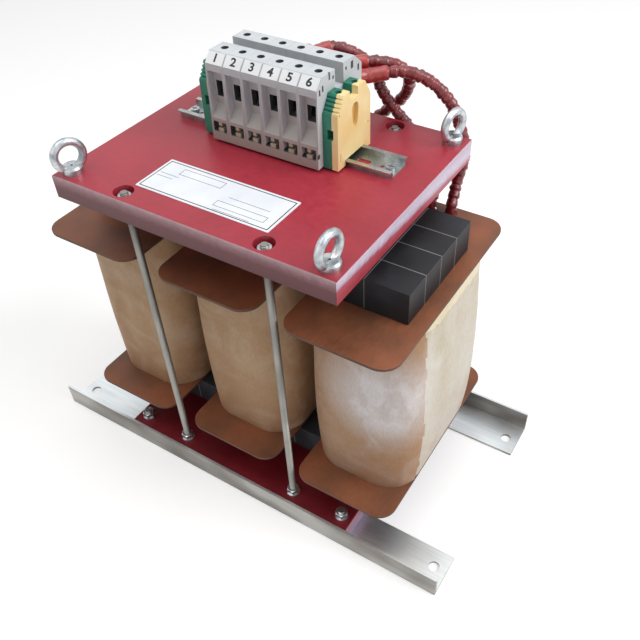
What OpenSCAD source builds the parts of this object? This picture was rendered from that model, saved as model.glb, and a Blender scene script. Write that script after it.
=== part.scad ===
// Three-coil filter inductor on a frame with terminal blocks, in millimetres.
// The rails run along X, the terminals' front looks along -Y, the rails stand on z = 0.

/* [Mounting rails] */
// Length of each rail
rail_l = 550; // [460:5:700]
// Width of the flange that lies on the floor
rail_flange = 50; // [46:1:60]
// Height of the upstand, from the floor
rail_upstand = 30; // [20:1:60]
// Thickness of the rail
rail_t = 3; // [2.5:0.5:4]
// Diameter of the mounting holes
mount_hole_d = 12; // [9:0.5:14]
// Mounting hole's centre from the rail's end
mount_hole_end = 15; // [12:1:30]
// Mounting hole's centre from the back of the upstand
mount_hole_side = 29; // [22:1:36]

/* [Plates] */
// Length of both plates
plate_l = 320; // [310:5:360]
// Width of both plates
plate_w = 258; // [254:2:300]
// Thickness of both plates
plate_t = 25; // [22:1:32]
// Gap from the base plate to each upstand
plate_gap = 1; // [0.5:0.5:3]
// Chamfer along the plates' edges
plate_arris = 0.8; // [0.4:0.2:1.6]
// Thickness of the bars under the core
support_h = 15; // [10:1:24]
// Thickness of the bars over the core
pressure_h = 23; // [14:1:30]
// Width of the bars
bar_w = 40; // [24:2:60]
// Length of the bars
bar_l = 260; // [200:5:290]
// Middle of each bar from the middle of the frame
bar_y = 38; // [34:1:44]

/* [Core] */
// Length of a leg's section, along X
leg_l = 80; // [60:2:84]
// Width of a leg's section, along Y
leg_w = 128; // [100:4:132]
// Height of one leg block
leg_block_h = 54; // [48:1:60]
// Number of blocks in a leg
leg_blocks = 4; // [3:1:5]
// Thickness of the gap spacers
gap_t = 2.8; // [1.5:0.1:4]
// Height of the yokes
yoke_h = 35; // [28:1:45]
// Reach of the yokes past the outer legs
yoke_reach = 3; // [0:0.5:8]
// Length of one yoke block
yoke_block_l = 49; // [40:1:60]
// Rows of yoke blocks
yoke_rows = 4; // [2:1:5]
// Thickness of the bonded joints
joint_t = 0.8; // [0.4:0.1:1.2]

/* [Coils] */
// Distance between coil centres
coil_pitch = 150; // [144:1:165]
// Cheek length, along X
cheek_l = 120; // [112:1:130]
// Cheek width, along Y
cheek_w = 252; // [244:2:256]
// Cheek thickness
cheek_t = 3; // [2:0.5:4]
// Cheek corner radius
cheek_r = 20; // [10:1:30]
// Wall of the winding former
former_t = 2; // [1.5:0.5:3]
// Clearance between the leg and the former
former_clear = 0.6; // [0.3:0.1:0.7]
// Build of the winding
winding_build = 13.5; // [10:0.5:14]
// Corner radius of the winding's outside
winding_r = 22; // [20:1:26]
// Thickness of the duct sticks
duct_t = 9; // [6:0.5:11]
// Width of the duct sticks
duct_stick_w = 8; // [5:1:10]
// Distance between duct sticks
duct_pitch = 14; // [11:1:16]
// Duct sticks on each side
duct_sticks_n = 3; // [1:1:3]
// Length of the wrapped coil at its top and bottom rims
wrap_l = 122; // [118:1:128]
// How far the wrap swells on each long side
wrap_swell = 5.5; // [1:0.5:6]
// Thickness of the wrap
wrap_t = 2; // [1:0.5:2.5]
// Corner radius of the wrap
wrap_r = 40; // [30:1:46]

/* [Leads] */
// Outer diameter of a sleeved lead
lead_d = 12.5; // [8:0.5:13]
// Wall of the second sleeve at the terminals
sleeve_wall = 1; // [0.6:0.2:1.6]
// Diameter of the end ferrules
ferrule_d = 8.6; // [6:0.2:8.8]
// Clearance of the lead holes in the cheeks
lead_hole_clear = 0.5; // [0.3:0.1:1.5]
// Distance of the lead holes from the cheek's edge
lead_hole_inset = 12; // [10:0.5:14]
// Reach of the leads behind the plates, to their middle
lead_drop_out = 12; // [10:0.5:16]
// Finish lead's offset from the coil's middle
finish_x = 0.8; // [-4:0.2:6]
// Start lead's offset from the coil's middle
start_x = -23.2; // [-30:0.2:-18]

/* [Terminal rail] */
// Length of the rail
din_l = 256; // [250:1:290]
// Middle of the rail, along Y
din_y = 38; // [34:1:44]
// Width of the rail
din_w = 35; // [35:1:35]
// Width of the rail's channel, outside
din_channel = 27; // [25:1:28]
// Height of the rail
din_h = 7.5; // [7.5:0.5:10]
// Sheet thickness of the rail
din_t = 1; // [1:0.1:1.5]
// Length of the rail's slots
din_slot_l = 15; // [10:1:18]
// Width of the rail's slots
din_slot_w = 6.2; // [4.2:0.1:7]
// Distance between the slots
din_slot_pitch = 36; // [25:1:40]
// Fixing screw's centre from the middle of the rail
din_screw_x = 119; // [114:1:120]
// Small hole's centre from the middle of the rail
din_hole_x = 110; // [106:1:111]
// Diameter of the small hole
din_hole_d = 4; // [2:0.5:5]

/* [Terminals] */
// Number of phase terminals
term_n = 6; // [6:1:6]
// Distance between terminals
term_pitch = 21; // [21:0.5:22]
// Gap between neighbours
term_gap = 0.2; // [0.1:0.1:0.4]
// Middle of the row, along X
term_row_x = -2; // [-6:1:4]
// Gap between the housing and the plate
term_under = 3; // [2:0.5:5]
// Height of the towers over the plate
term_h = 89; // [88:0.5:92]
// Front foot from the rail's middle
term_front = 38.5; // [37:0.5:42]
// Rear face from the rail's middle
term_rear = 42; // [40:0.5:46]
// Lean of the front face
term_lean = 3.5; // [2:0.5:5]
// Run of the marker slope
brow_run = 9; // [8:0.5:11]
// Drop of the marker slope
brow_drop = 10; // [8:0.5:12]
// Back of the front tower, in front of the rail's middle
tower_gap_front = 5; // [4:0.5:7]
// Front of the rear tower, behind the rail's middle
tower_gap_rear = 9.5; // [8:0.5:11]
// Height of the valley floor over the plate
valley_h = 69; // [67:0.5:70]
// Run of the rear chamfer
rear_cut_run = 13.5; // [10:0.5:14]
// Drop of the rear chamfer
rear_cut_drop = 11.5; // [8:0.5:14]
// Thickness of the ribs between the wire bays
rib_t = 1.5; // [1:0.1:2]
// Depth of the wire bays
bay_depth = 11; // [6:0.5:13]
// Top of the wire bays over the plate
bay_top = 75; // [72:0.5:76]
// Bottom of the wire bays over the plate
bay_bottom = 24; // [20:0.5:30]
// Rise of the bay's floor towards the back
bay_floor_rise = 13; // [6:0.5:16]
// Fall of the bay's roof towards the back
bay_roof_fall = 6; // [2:0.5:8]
// Width of the wire entry
entry_w = 12; // [10:0.5:13]
// Height of the wire entry
entry_h = 16; // [14:0.5:17]
// Width of the latch windows
latch_w = 16; // [10:0.5:17]
// Height of the latch windows
latch_h = 7.5; // [5:0.5:9]
// Bottom of the latch windows over the plate
latch_bottom = 14; // [11:0.5:15]
// Depth of the latch windows
latch_depth = 6; // [3:0.5:8]
// Width of the tongue in a latch window
latch_tongue_w = 5; // [3:0.5:6]
// Thickness of a marker strip
marker_t = 0.8; // [0.5:0.1:1.2]

/* [Terminal clamps] */
// Front screw's axis in front of the rail's middle
screw_front = 15.5; // [14:0.5:17]
// Rear screw's axis behind the rail's middle
screw_rear = 19.5; // [18.5:0.5:20]
// Diameter of the clamp screw
screw_d = 8; // [6:0.5:8]
// Diameter of the clamp screw's head
screw_head_d = 11; // [10:0.5:11.5]
// Height of the clamp screw's head
screw_head_h = 6; // [5:0.5:6.5]
// Width across the flats of the hex socket
socket_af = 5; // [4:0.5:6]
// Thickness of the wall over the screw heads
top_wall = 3.2; // [2:0.2:4]
// Diameter of the screwdriver holes
driver_hole_d = 7.5; // [6.5:0.5:8.5]
// Thread pitch of the clamp screw
screw_lead = 1.25; // [1:0.05:1.25]
// Turns from open to closed
screw_turns = 6; // [4:1:6]
// Width of the clamp cage
cage_w = 15; // [14:0.5:15.5]
// Depth of the clamp cage
cage_d = 12; // [10:0.5:12]
// Wall of the clamp cage
cage_wall = 2; // [1.5:0.1:2.2]
// Thickness of the cage's floor
cage_floor = 2.5; // [2:0.1:3]
// Thickness of the cage's threaded top
cage_top = 6; // [5:0.5:6.5]
// Height of the cage's window
cage_window_h = 18.5; // [17.5:0.5:19]
// Underside of the current bar over the plate
bar_under = 61; // [60:0.5:62]
// Thickness of the current bar
bar_t = 3; // [2:0.25:3.5]

/* [Earth terminals] */
// Thickness of the green body
pe_body_w = 9.5; // [9:0.5:11]
// Thickness of the yellow cover
pe_cover_w = 6.7; // [6:0.1:9]
// Gap to the grey row
pe_gap = 0.3; // [0.1:0.1:0.6]
// Front face from the rail's middle
pe_front = 30; // [28:0.5:33]
// Rear face from the rail's middle
pe_rear = 30; // [28:0.5:33]
// Height of the front tower over the plate
pe_h = 72.7; // [71:0.5:75]
// Height of the shoulders over the plate
pe_shoulder_h = 56.5; // [52:0.5:60]
// Run of the front slope
pe_slope_run = 10.5; // [9:0.5:11]
// Back of the front tower, in front of the rail's middle
pe_tower_front = 7; // [6.5:0.5:8]
// Front of the rear tower, behind the rail's middle
pe_tower_rear = 7.5; // [6:0.5:9]
// Height of the valley over the plate
pe_valley_h = 63.5; // [60:0.5:65]
// Run of the rear slope
pe_rear_run = 9.5; // [8:0.5:10]
// Front screw's axis in front of the rail's middle
pe_screw_front = 13.4; // [13:0.1:13.6]
// Rear screw's axis behind the rail's middle
pe_screw_rear = 14.5; // [14:0.1:15]
// Diameter of the earth clamp screw
pe_screw_d = 5; // [4:0.5:5]
// Diameter of its head
pe_head_d = 8; // [7:0.5:8.2]
// Height of its head
pe_head_h = 4.5; // [3:0.5:5]
// Width across the flats of its socket
pe_socket_af = 3; // [2.5:0.5:4]
// Thickness of the wall over the heads
pe_top_wall = 2.7; // [2:0.1:3.4]
// Diameter of the screwdriver holes
pe_driver_hole_d = 6.5; // [6.5:0.5:7.5]
// Thread pitch of the earth clamp screw
pe_screw_lead = 0.8; // [0.5:0.1:0.8]
// Width of the earth clamp cage
pe_cage_w = 9; // [8:0.5:9]
// Depth of the earth clamp cage
pe_cage_d = 8; // [7:0.5:8.4]
// Height of the earth cage's window
pe_window_h = 14.5; // [13.5:0.5:15]
// Thickness of the earth cage's threaded top
pe_cage_top = 4.5; // [3.5:0.5:5]
// Thickness of the earth cage's floor
pe_cage_floor = 2; // [1.5:0.1:2.4]
// Wall of the earth clamp cage
pe_cage_wall = 1.2; // [1:0.1:1.4]
// Underside of the earth bar over the plate
pe_bar_under = 42; // [41:0.5:43]
// Thickness of the earth bar
pe_bar_t = 2.5; // [2:0.25:3]
// Height of the wire entry
pe_entry_h = 10; // [8:0.5:10.5]
// Width of the wire entry
pe_entry_w = 6.4; // [5:0.2:6.4]

/* [Fasteners] */
// Diameter of the tie rods and foot screws
rod_d = 8; // [6:1:8]
// Width across the flats of the nuts
nut_af = 13; // [13:0.5:14]
// Height of the nuts
nut_h = 6.5; // [5:0.5:7]
// Diameter of the washers
washer_d = 16; // [15:0.5:17]
// Thickness of the washers
washer_t = 1.6; // [1:0.2:2]
// Diameter of the counterbores
counterbore_d = 20; // [18:0.5:24]
// Depth of the counterbores
counterbore_h = 12; // [10:0.5:14]
// Tie rods' middles from the plates' short edges
rod_edge = 80; // [77:1:84]
// Tie rods' middles from the plates' long edges
rod_side = 14; // [12:0.5:15]
// Foot screws' middles from the plates' short edges
foot_edge = 14; // [12:1:20]
// Foot screws' middles from the plates' long edges
foot_side = 15; // [13:1:20]
// Diameter of the countersunk heads
foot_head_d = 16; // [15:0.5:16]
// Outer diameter of the lifting rings
eye_outer_d = 36; // [32:1:36]
// Inner diameter of the lifting rings
eye_inner_d = 20; // [18:1:22]
// Diameter of the lifting collars
eye_collar_d = 20; // [18:1:22]
// Height of the lifting collars
eye_collar_h = 6; // [4:0.5:6.5]
// Ring centre over the plate
eye_centre_h = 18; // [18:0.5:22]
// Diameter of the lifting bolts' shanks
eye_shank_d = 8; // [6:1:10]
// Length of the lifting bolts' shanks
eye_shank_l = 13; // [11:1:16]
// Left lifting bolts from the plate's edge
eye_left = 15; // [12:1:20]
// Right lifting bolts from the plate's edge
eye_right = 15; // [12:1:20]
// Front lifting bolts from the plate's edge
eye_front = 14.5; // [12:0.5:18]
// Rear lifting bolts from the plate's edge
eye_rear = 14.5; // [12:0.5:18]
// Diameter of the rail's fixing screws
fix_d = 5; // [4:0.5:5.5]
// Diameter of their heads
fix_head_d = 9.5; // [8:0.5:10]

/* [Nameplate] */
// Length of the nameplate
label_l = 152; // [100:2:160]
// Width of the nameplate
label_w = 52; // [40:1:56]
// Thickness of the nameplate
label_t = 0.5; // [0.3:0.1:1]
// Middle of the nameplate from the plate's front edge
label_inset = 53; // [50:1:56]

/* [Hidden] */

// Smoothness, overrun of cuts, and clearances that pieces share
$fn = 64;
over = 1;
clear = 0.3;
fit = 0.05;

// Heights of the stack, from the floor up
z_base_top = rail_t + plate_t;
z_lower_yoke = z_base_top + support_h;
z_legs = z_lower_yoke + yoke_h;
leg_h = leg_blocks * leg_block_h + (leg_blocks + 1) * gap_t;
z_upper_yoke = z_legs + leg_h;
z_pressure = z_upper_yoke + yoke_h;
z_top_under = z_pressure + pressure_h;
z_top = z_top_under + plate_t;

// Places in plan
rail_back = plate_w / 2 + plate_gap + rail_t;
mount_x = rail_l / 2 - mount_hole_end;
mount_y = rail_back - mount_hole_side;
rod_x = plate_l / 2 - rod_edge;
rod_y = plate_w / 2 - rod_side;
foot_x = plate_l / 2 - foot_edge;
foot_y = plate_w / 2 - foot_side;
coil_xs = [-coil_pitch, 0, coil_pitch];
yoke_l = 2 * (coil_pitch + yoke_reach) + leg_l;
yoke_w = leg_w;

// Coil shells, worked out from the leg outwards
former_in_l = leg_l + 2 * former_clear;
former_in_w = leg_w + 2 * former_clear;
former_l = former_in_l + 2 * former_t;
former_w = former_in_w + 2 * former_t;
winding_l = former_l + 2 * clear + 2 * winding_build;
winding_w = former_w + 2 * clear + 2 * winding_build;
winding_inset = 2;
wrap_w = winding_w + 2 * (clear + duct_t + clear) + 2 * wrap_t;
cheek_top = z_upper_yoke - cheek_t;
cheek_bottom = z_legs + cheek_t;
wrap_rings = 8;
wrap_corner_steps = 8;
wrap_low_share = 0.8;
former_r = 2 * former_clear;
winding_inner_r = 4;

// Fastener details
hole_clear = 0.5;
chamfer_af_share = 0.96;
socket_depth_share = 0.6;
foot_cone_h = (foot_head_d - rod_d) / 2;
rod_end_gap = 1;
foot_thread_out = 3;
eye_section = (eye_outer_d - eye_inner_d) / 2;
eye_ring_r = (eye_outer_d + eye_inner_d) / 4;
eye_saddle_d = 17;
eye_mark_d = 2.4;
eye_mark_h = 3;
eye_turn_front = [-19, -4];
eye_turn_rear = [-8, -13];
fix_head_h = 3.4;
fix_shank_l = 14;
fix_slot_w = 1.2;
fix_slot_h = 1.4;

// Terminal places and shapes
term_w = term_pitch - term_gap;
term_row_l = term_n * term_pitch;
din_lip_clear = 0.2;
seat_under = din_h - din_t - din_lip_clear;
seat_over = din_h + din_lip_clear;
seat_w = din_w + 2 * clear;
channel_w = din_channel + 2 * clear;
cage_h = cage_floor + cage_window_h + cage_top;
wire_least = 6.5;
wire_room = screw_turns * screw_lead + wire_least;
cage_rest = bar_under - wire_room - cage_floor;
ferrule_gap = 0.2;
rear_close = wire_room - ferrule_d - 2 * ferrule_gap;
screw_head_under = term_h - top_wall - clear - screw_head_h;
pocket_over = 0.5;
current_bar_w = cage_w - 2 * cage_wall - 2 * clear;
current_bar_end = 0.3;
marker_w = term_w - rib_t;
marker_edge = 0.7;

// Earth terminal places and shapes
pe_w = pe_body_w + pe_cover_w;
pe_screw_x = pe_w / 2;
pe_foot_under = 2;
pe_hook = 1;
pe_foot_l = pe_front - din_w / 2 + pe_hook;
pe_lean = 1.3;
pe_rear_drop = 1.2;
pe_head_under = pe_h - pe_top_wall - clear - pe_head_h - pe_rear_drop;
pe_cage_h = pe_cage_floor + pe_window_h + pe_cage_top;
pe_wire_least = 4.7;
pe_wire_room = screw_turns * pe_screw_lead + pe_wire_least;
pe_cage_rest = pe_bar_under - pe_wire_room - pe_cage_floor;
pe_bar_w = pe_cage_w - 2 * pe_cage_wall - 2 * clear;
pe_teeth = 4;
pe_tooth_cut = 1.6;
pe_drop_d = 5.2;
pe_drop_l = 13;
pe_drop_tip = 2;
pe_mark_depth = 1.6;
pe_pin_d = 2.2;
pe_slit_w = 1;
pe_slit_l = 9;

// Colours, as on the photographed object
zinc = [0.74, 0.77, 0.8];
laminate = [0.72, 0.29, 0.35];
dark_laminate = [0.42, 0.1, 0.13];
core_grey = [0.16, 0.17, 0.19];
resin = [0.7, 0.72, 0.74];
cheek_brown = [0.5, 0.35, 0.27];
wrap_tan = [0.8, 0.72, 0.6];
copper = [0.76, 0.45, 0.3];
lead_red = [0.6, 0.18, 0.19];
term_grey = [0.82, 0.84, 0.87];
white = [0.97, 0.97, 0.97];
earth_green = [0.2, 0.52, 0.44];
earth_yellow = [0.95, 0.83, 0.5];

// Frame that the routes below are drawn for: the terminals' backs, the drop behind the plates,
// the lead holes, the wraps' backs, the cheeks' tops and the top plate's top
drawn_rear = 80.3;
drawn_drop = 141;
drawn_hole = 114;
drawn_wrap = 92;
drawn_cheek = 308;
drawn_top = 391;
lead_end_points = 5;

// Drawn routes of the six leads, from the rear of a terminal to the back of a coil
drawn_routes = [
    [[-54.5, 80.3, 447.5], [-54.5, 90, 447.5], [-58, 108, 446], [-73, 124, 441], [-97, 132, 433],
        [-123, 137, 421], [-147, 141, 403], [-165, 142, 380], [-172.5, 137, 352],
        [-173.2, 124, 328], [-173.2, 114, 314], [-173.2, 114, 285], [-173.2, 111.1, 277.9],
        [-173.2, 104, 275], [-173.2, 92.4, 275]],
    [[8.5, 80.3, 447.5], [8.5, 90, 447.5], [7, 105, 443], [-3, 116, 432], [-26, 119, 420],
        [-64, 120, 410], [-104, 127, 406], [-130, 137, 395], [-145, 141, 374], [-149.2, 136, 347],
        [-149.2, 123, 326], [-149.2, 114, 314], [-149.2, 114, 285], [-149.2, 111.1, 277.9],
        [-149.2, 104, 275], [-149.2, 92.4, 275]],
    [[-33.5, 80.3, 447.5], [-33.5, 90, 447.5], [-33.5, 128, 442], [-31, 141, 426],
        [-28, 145, 400], [-25.5, 141, 370], [-24, 132, 342], [-23.2, 121, 324], [-23.2, 114, 314],
        [-23.2, 114, 285], [-23.2, 111.1, 277.9], [-23.2, 104, 275], [-23.2, 92.4, 275]],
    [[29.5, 80.3, 447.5], [29.5, 90, 447.5], [36, 102, 452.5], [50, 112, 454], [64, 120, 453],
        [76, 128, 448.5], [82, 137, 437], [79, 145, 421], [69, 149.5, 404], [51, 149.5, 386],
        [28, 144, 364], [9, 134, 342], [1.5, 122, 324], [0.8, 114, 314], [0.8, 114, 285],
        [0.8, 111.1, 277.9], [0.8, 104, 275], [0.8, 92.4, 275]],
    [[-12.5, 80.3, 447.5], [-12.5, 90, 447.5], [-9, 105, 453], [3, 119, 456.5], [22, 123, 455],
        [38, 126, 448], [46, 131, 435], [51, 135, 419], [62, 137, 402], [82, 139, 382],
        [105, 138.5, 360], [122, 132, 339], [127, 121, 324], [127, 114, 314], [127, 114, 285],
        [127, 111.1, 277.9], [127, 104, 275], [127, 92.4, 275]],
    [[50.5, 80.3, 447.5], [50.5, 89, 447.5], [59, 100, 446.5], [74, 110, 449], [92, 118, 450],
        [110, 127, 441.5], [123, 131.5, 430.5], [133.6, 134.5, 417.5], [144, 138, 391.3],
        [148.2, 139.5, 372.4], [149.2, 138, 355], [147.8, 131, 337], [149.4, 121, 324],
        [150.8, 114, 314], [150.8, 114, 285], [150.8, 111.1, 277.9], [150.8, 104, 275],
        [150.8, 92.4, 275]]];
lead_sides = 10;
sleeve_points = 4;
sleeve_clear = 0.1;

// Middle of a terminal, by number from the left
function term_x(i) = term_row_x + (i - (term_n + 1) / 2) * term_pitch;

// Left face of each earth terminal
pe_left_x = term_row_x - term_row_l / 2 - pe_gap - pe_w;
pe_right_x = term_row_x + term_row_l / 2 + pe_gap;

// Routes fitted to the frame: each drawn place is stretched between its two neighbours in use
wire_z = z_top + bar_under - ferrule_gap - ferrule_d / 2;
rear_y = din_y + term_rear + clear;
drop_y = plate_w / 2 + lead_drop_out;
hole_y = cheek_w / 2 - lead_hole_inset;
function between(v, from, to, out_from, out_to) =
    out_from + (v - from) * (out_to - out_from) / (to - from);
function placed_y(y, z) = z > drawn_top - plate_t ? between(y, drawn_rear, drawn_drop, rear_y, drop_y)
    : z > drawn_cheek ? between(y, drawn_hole, drawn_drop, hole_y, drop_y)
    : between(y, drawn_wrap, drawn_hole, wrap_w / 2, hole_y);
function placed_z(z) = z > drawn_top ? z + z_top - drawn_top
    : z > drawn_cheek ? between(z, drawn_cheek, drawn_top, z_upper_yoke, z_top)
    : z + z_upper_yoke - drawn_cheek;
function lead_route(i) = let (
    route = drawn_routes[i], coil = floor(i / 2), last = len(route) - 1,
    start = [term_x(coil + 1 + i % 2 * term_n / 2), 0, wire_z],
    finish = [coil_xs[coil] + (i % 2 == 0 ? start_x : finish_x), 0, 0],
    start_shift = [start[0] - route[0][0], 0, start[2] - placed_z(route[0][2])],
    finish_shift = [finish[0] - route[last][0], 0, 0])
    [for (j = [0:last]) let (p = route[j], share = max(0, min(1, (j - 1) / (last - lead_end_points))))
        [p[0], placed_y(p[1], p[2]), placed_z(p[2])]
            + (1 - share) * start_shift + share * finish_shift];
lead_routes = [for (i = [0:len(drawn_routes) - 1]) lead_route(i)];

// Swept and lofted shapes
function unit(v) = v / norm(v);
function heading(p, i) = let (a = i == 0 ? p[1] - p[0] : p[i] - p[i - 1],
    b = i == len(p) - 1 ? a : p[i + 1] - p[i]) unit(unit(a) + unit(b));
function squared(n, t) = unit(n - (n * t) * t);
function normals(p, i, last) = let (n = squared(last, heading(p, i)))
    i == len(p) - 1 ? [n] : concat([n], normals(p, i + 1, n));
function sweep_rings(p, r, sides) = let (n = normals(p, 0, [0, 0, 1])) [for (i = [0:len(p) - 1])
    let (b = cross(heading(p, i), n[i])) [for (k = [0:sides - 1])
        p[i] + r * (cos(360 * k / sides) * n[i] + sin(360 * k / sides) * b)]];
function rounded_ring(l, w, r, z) = [for (q = [0:3]) for (k = [0:wrap_corner_steps])
    let (a = 90 * (q + k / wrap_corner_steps), sx = q == 0 || q == 3 ? 1 : -1, sy = q < 2 ? 1 : -1)
    [sx * (l / 2 - r) + r * cos(a), sy * (w / 2 - r) + r * sin(a), z]];

module loft(rings) {
    n = len(rings[0]);
    last = len(rings) - 1;
    points = [for (ring = rings) for (p = ring) p];
    sides = [for (i = [0:last - 1]) for (k = [0:n - 1]) let (a = i * n + k, b = i * n + (k + 1) % n)
        each [[a, a + n, b + n], [a, b + n, b]]];
    first_end = [for (k = [0:n - 1]) k];
    last_end = [for (k = [n - 1:-1:0]) last * n + k];
    polyhedron(points, concat(sides, [first_end], [last_end]));
}

module rounded(l, w, r) {
    square([l - 2 * r, w], center = true);
    square([l, w - 2 * r], center = true);
    for (x = [-1, 1])
        for (y = [-1, 1])
            translate([x * (l / 2 - r), y * (w / 2 - r)])
                circle(r);
}

module chamfered(w, h, c) {
    polygon([[c - w / 2, 0], [w / 2 - c, 0], [w / 2, c], [w / 2, h - c], [w / 2 - c, h],
        [c - w / 2, h], [-w / 2, h - c], [-w / 2, c]]);
}

module at_four(x, y) {
    for (a = [-x, x])
        for (b = [-y, y])
            translate([a, b, 0])
                children();
}

module block(x, y, z) {
    translate([-x / 2, -y / 2, 0])
        cube([x, y, z]);
}

// Along X: a profile drawn in Y and Z
module along_x(l) {
    translate([-l / 2, 0, 0])
        rotate([90, 0, 90])
            linear_extrude(l)
                children();
}

// Rails
module foot_screw_hole(grow) {
    translate([0, 0, -over])
        cylinder(d = rod_d + 2 * hole_clear, h = z_base_top + 2 * over);
    cylinder(d1 = foot_head_d + grow, d2 = rod_d + grow, h = foot_cone_h);
}

module rail() {
    difference() {
        union() {
            translate([-rail_l / 2, -rail_back, 0])
                cube([rail_l, rail_flange, rail_t]);
            translate([-rail_l / 2, -rail_back, 0])
                cube([rail_l, rail_t, rail_upstand]);
        }
        at_four(mount_x, mount_y)
            translate([0, 0, -over])
                cylinder(d = mount_hole_d, h = rail_t + 2 * over);
        at_four(foot_x, foot_y)
            foot_screw_hole(2 * clear);
    }
}

module front_rail() {
    color(zinc)
        rail();
}

module rear_rail() {
    color(zinc)
        mirror([0, 1, 0])
            rail();
}

// Plates
module plate_blank() {
    intersection() {
        along_x(plate_l)
            chamfered(plate_w, plate_t, plate_arris);
        rotate([0, 0, 90])
            along_x(plate_w)
                chamfered(plate_l, plate_t, plate_arris);
    }
}

module rod_hole() {
    translate([0, 0, -over])
        cylinder(d = rod_d + 2 * hole_clear, h = plate_t + 2 * over);
}

module base_plate() {
    color(dark_laminate)
        difference() {
            translate([0, 0, rail_t])
                plate_blank();
            at_four(rod_x, rod_y)
                translate([0, 0, rail_t]) {
                    rod_hole();
                    translate([0, 0, -over])
                        cylinder(d = counterbore_d, h = counterbore_h + over);
                }
            at_four(foot_x, foot_y)
                foot_screw_hole(2 * clear);
        }
}

module top_plate() {
    color(laminate)
        difference() {
            translate([0, 0, z_top_under])
                plate_blank();
            at_four(rod_x, rod_y)
                translate([0, 0, z_top_under]) {
                    rod_hole();
                    translate([0, 0, plate_t - counterbore_h])
                        cylinder(d = counterbore_d, h = counterbore_h + over);
                }
            for (spot = concat(eye_spots(-1), eye_spots(1)))
                translate([spot[0], spot[1], z_top - eye_shank_l - over])
                    cylinder(d = eye_shank_d + 2 * fit, h = eye_shank_l + 2 * over);
            for (x = [-din_screw_x, din_screw_x])
                translate([term_row_x + x, din_y, z_top + din_t - fix_shank_l - over])
                    cylinder(d = fix_d + 2 * fit, h = fix_shank_l + 2 * over);
        }
}

module support_bars() {
    color(dark_laminate)
        for (y = [-bar_y, bar_y]) {
            translate([0, y, z_base_top])
                block(bar_l, bar_w, support_h);
            translate([0, y, z_pressure])
                block(bar_l, bar_w, pressure_h);
        }
}

// Fasteners
module nut() {
    corner_d = nut_af / cos(30);
    face_r = nut_af * chamfer_af_share / 2;
    cone_h = (corner_d / 2 + clear - face_r) * tan(30);
    difference() {
        intersection() {
            cylinder(d = corner_d, h = nut_h, $fn = 6);
            rotate_extrude()
                polygon([[0, 0], [face_r, 0], [corner_d / 2 + clear, cone_h],
                    [corner_d / 2 + clear, nut_h - cone_h], [face_r, nut_h], [0, nut_h]]);
        }
        translate([0, 0, -over])
            cylinder(d = rod_d + 2 * fit, h = nut_h + 2 * over);
    }
}

module washer() {
    difference() {
        cylinder(d = washer_d, h = washer_t);
        translate([0, 0, -over])
            cylinder(d = rod_d + hole_clear, h = washer_t + 2 * over);
    }
}

rod_seats = [rail_t + counterbore_h - washer_t, z_base_top, z_top - counterbore_h];

module tie_rods() {
    rod_bottom = rail_t + rod_end_gap;
    color(zinc)
        at_four(rod_x, rod_y)
            translate([0, 0, rod_bottom])
                cylinder(d = rod_d, h = z_top - rod_end_gap - rod_bottom);
}

module hex_nuts() {
    color(zinc) {
        at_four(rod_x, rod_y) {
            translate([0, 0, rod_seats[0] - nut_h])
                nut();
            translate([0, 0, rod_seats[1] + washer_t])
                nut();
            translate([0, 0, rod_seats[2] + washer_t])
                nut();
        }
        at_four(foot_x, foot_y)
            translate([0, 0, z_base_top + washer_t])
                nut();
    }
}

module flat_washers() {
    color(zinc) {
        at_four(rod_x, rod_y)
            for (z = rod_seats)
                translate([0, 0, z])
                    washer();
        at_four(foot_x, foot_y)
            translate([0, 0, z_base_top])
                washer();
    }
}

module rail_screws() {
    color(zinc)
        at_four(foot_x, foot_y) {
            cylinder(d1 = foot_head_d, d2 = rod_d, h = foot_cone_h);
            cylinder(d = rod_d, h = z_base_top + washer_t + nut_h + foot_thread_out);
        }
}

// Lifting eye bolts: their places on the front (-1) or rear (1) edge
function eye_spots(side) = let (y = side < 0 ? eye_front - plate_w / 2 : plate_w / 2 - eye_rear)
    [[eye_left - plate_l / 2, y], [plate_l / 2 - eye_right, y]];

module eye_bolt(turn) {
    saddle_h = eye_centre_h - eye_inner_d / 2 - fit;
    rotate([0, 0, turn])
        difference() {
            union() {
                translate([0, 0, -eye_shank_l])
                    cylinder(d = eye_shank_d, h = eye_shank_l + eye_collar_h);
                cylinder(d = eye_collar_d, h = eye_collar_h);
                translate([0, 0, eye_collar_h])
                    cylinder(d1 = eye_collar_d, d2 = eye_saddle_d, h = saddle_h - eye_collar_h);
                translate([0, 0, eye_centre_h])
                    rotate([0, 90, 0])
                        rotate_extrude()
                            translate([eye_ring_r, 0])
                                circle(d = eye_section);
            }
            translate([0, 0, saddle_h - eye_mark_h])
                cylinder(d = eye_mark_d, h = eye_mark_h + over);
        }
}

module eye_bolt_pair(side, turns) {
    color(zinc)
        for (i = [0, 1])
            translate([eye_spots(side)[i][0], eye_spots(side)[i][1], z_top])
                eye_bolt(turns[i]);
}

module eye_bolts_front() {
    eye_bolt_pair(-1, eye_turn_front);
}

module eye_bolts_rear() {
    eye_bolt_pair(1, eye_turn_rear);
}

// Core: yoke blocks between bonded joints, legs of blocks between spacers
joint_count = ceil(yoke_l / 2 / yoke_block_l) - 1;
joint_xs = [for (i = [-joint_count:joint_count]) i * yoke_block_l];
joint_ys = [for (i = [1:yoke_rows - 1]) (i / yoke_rows - 1 / 2) * yoke_w];
cell_xs = concat([-yoke_l / 2 - joint_t / 2], joint_xs, [yoke_l / 2 + joint_t / 2]);
cell_ys = concat([-yoke_w / 2 - joint_t / 2], joint_ys, [yoke_w / 2 + joint_t / 2]);

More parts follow.
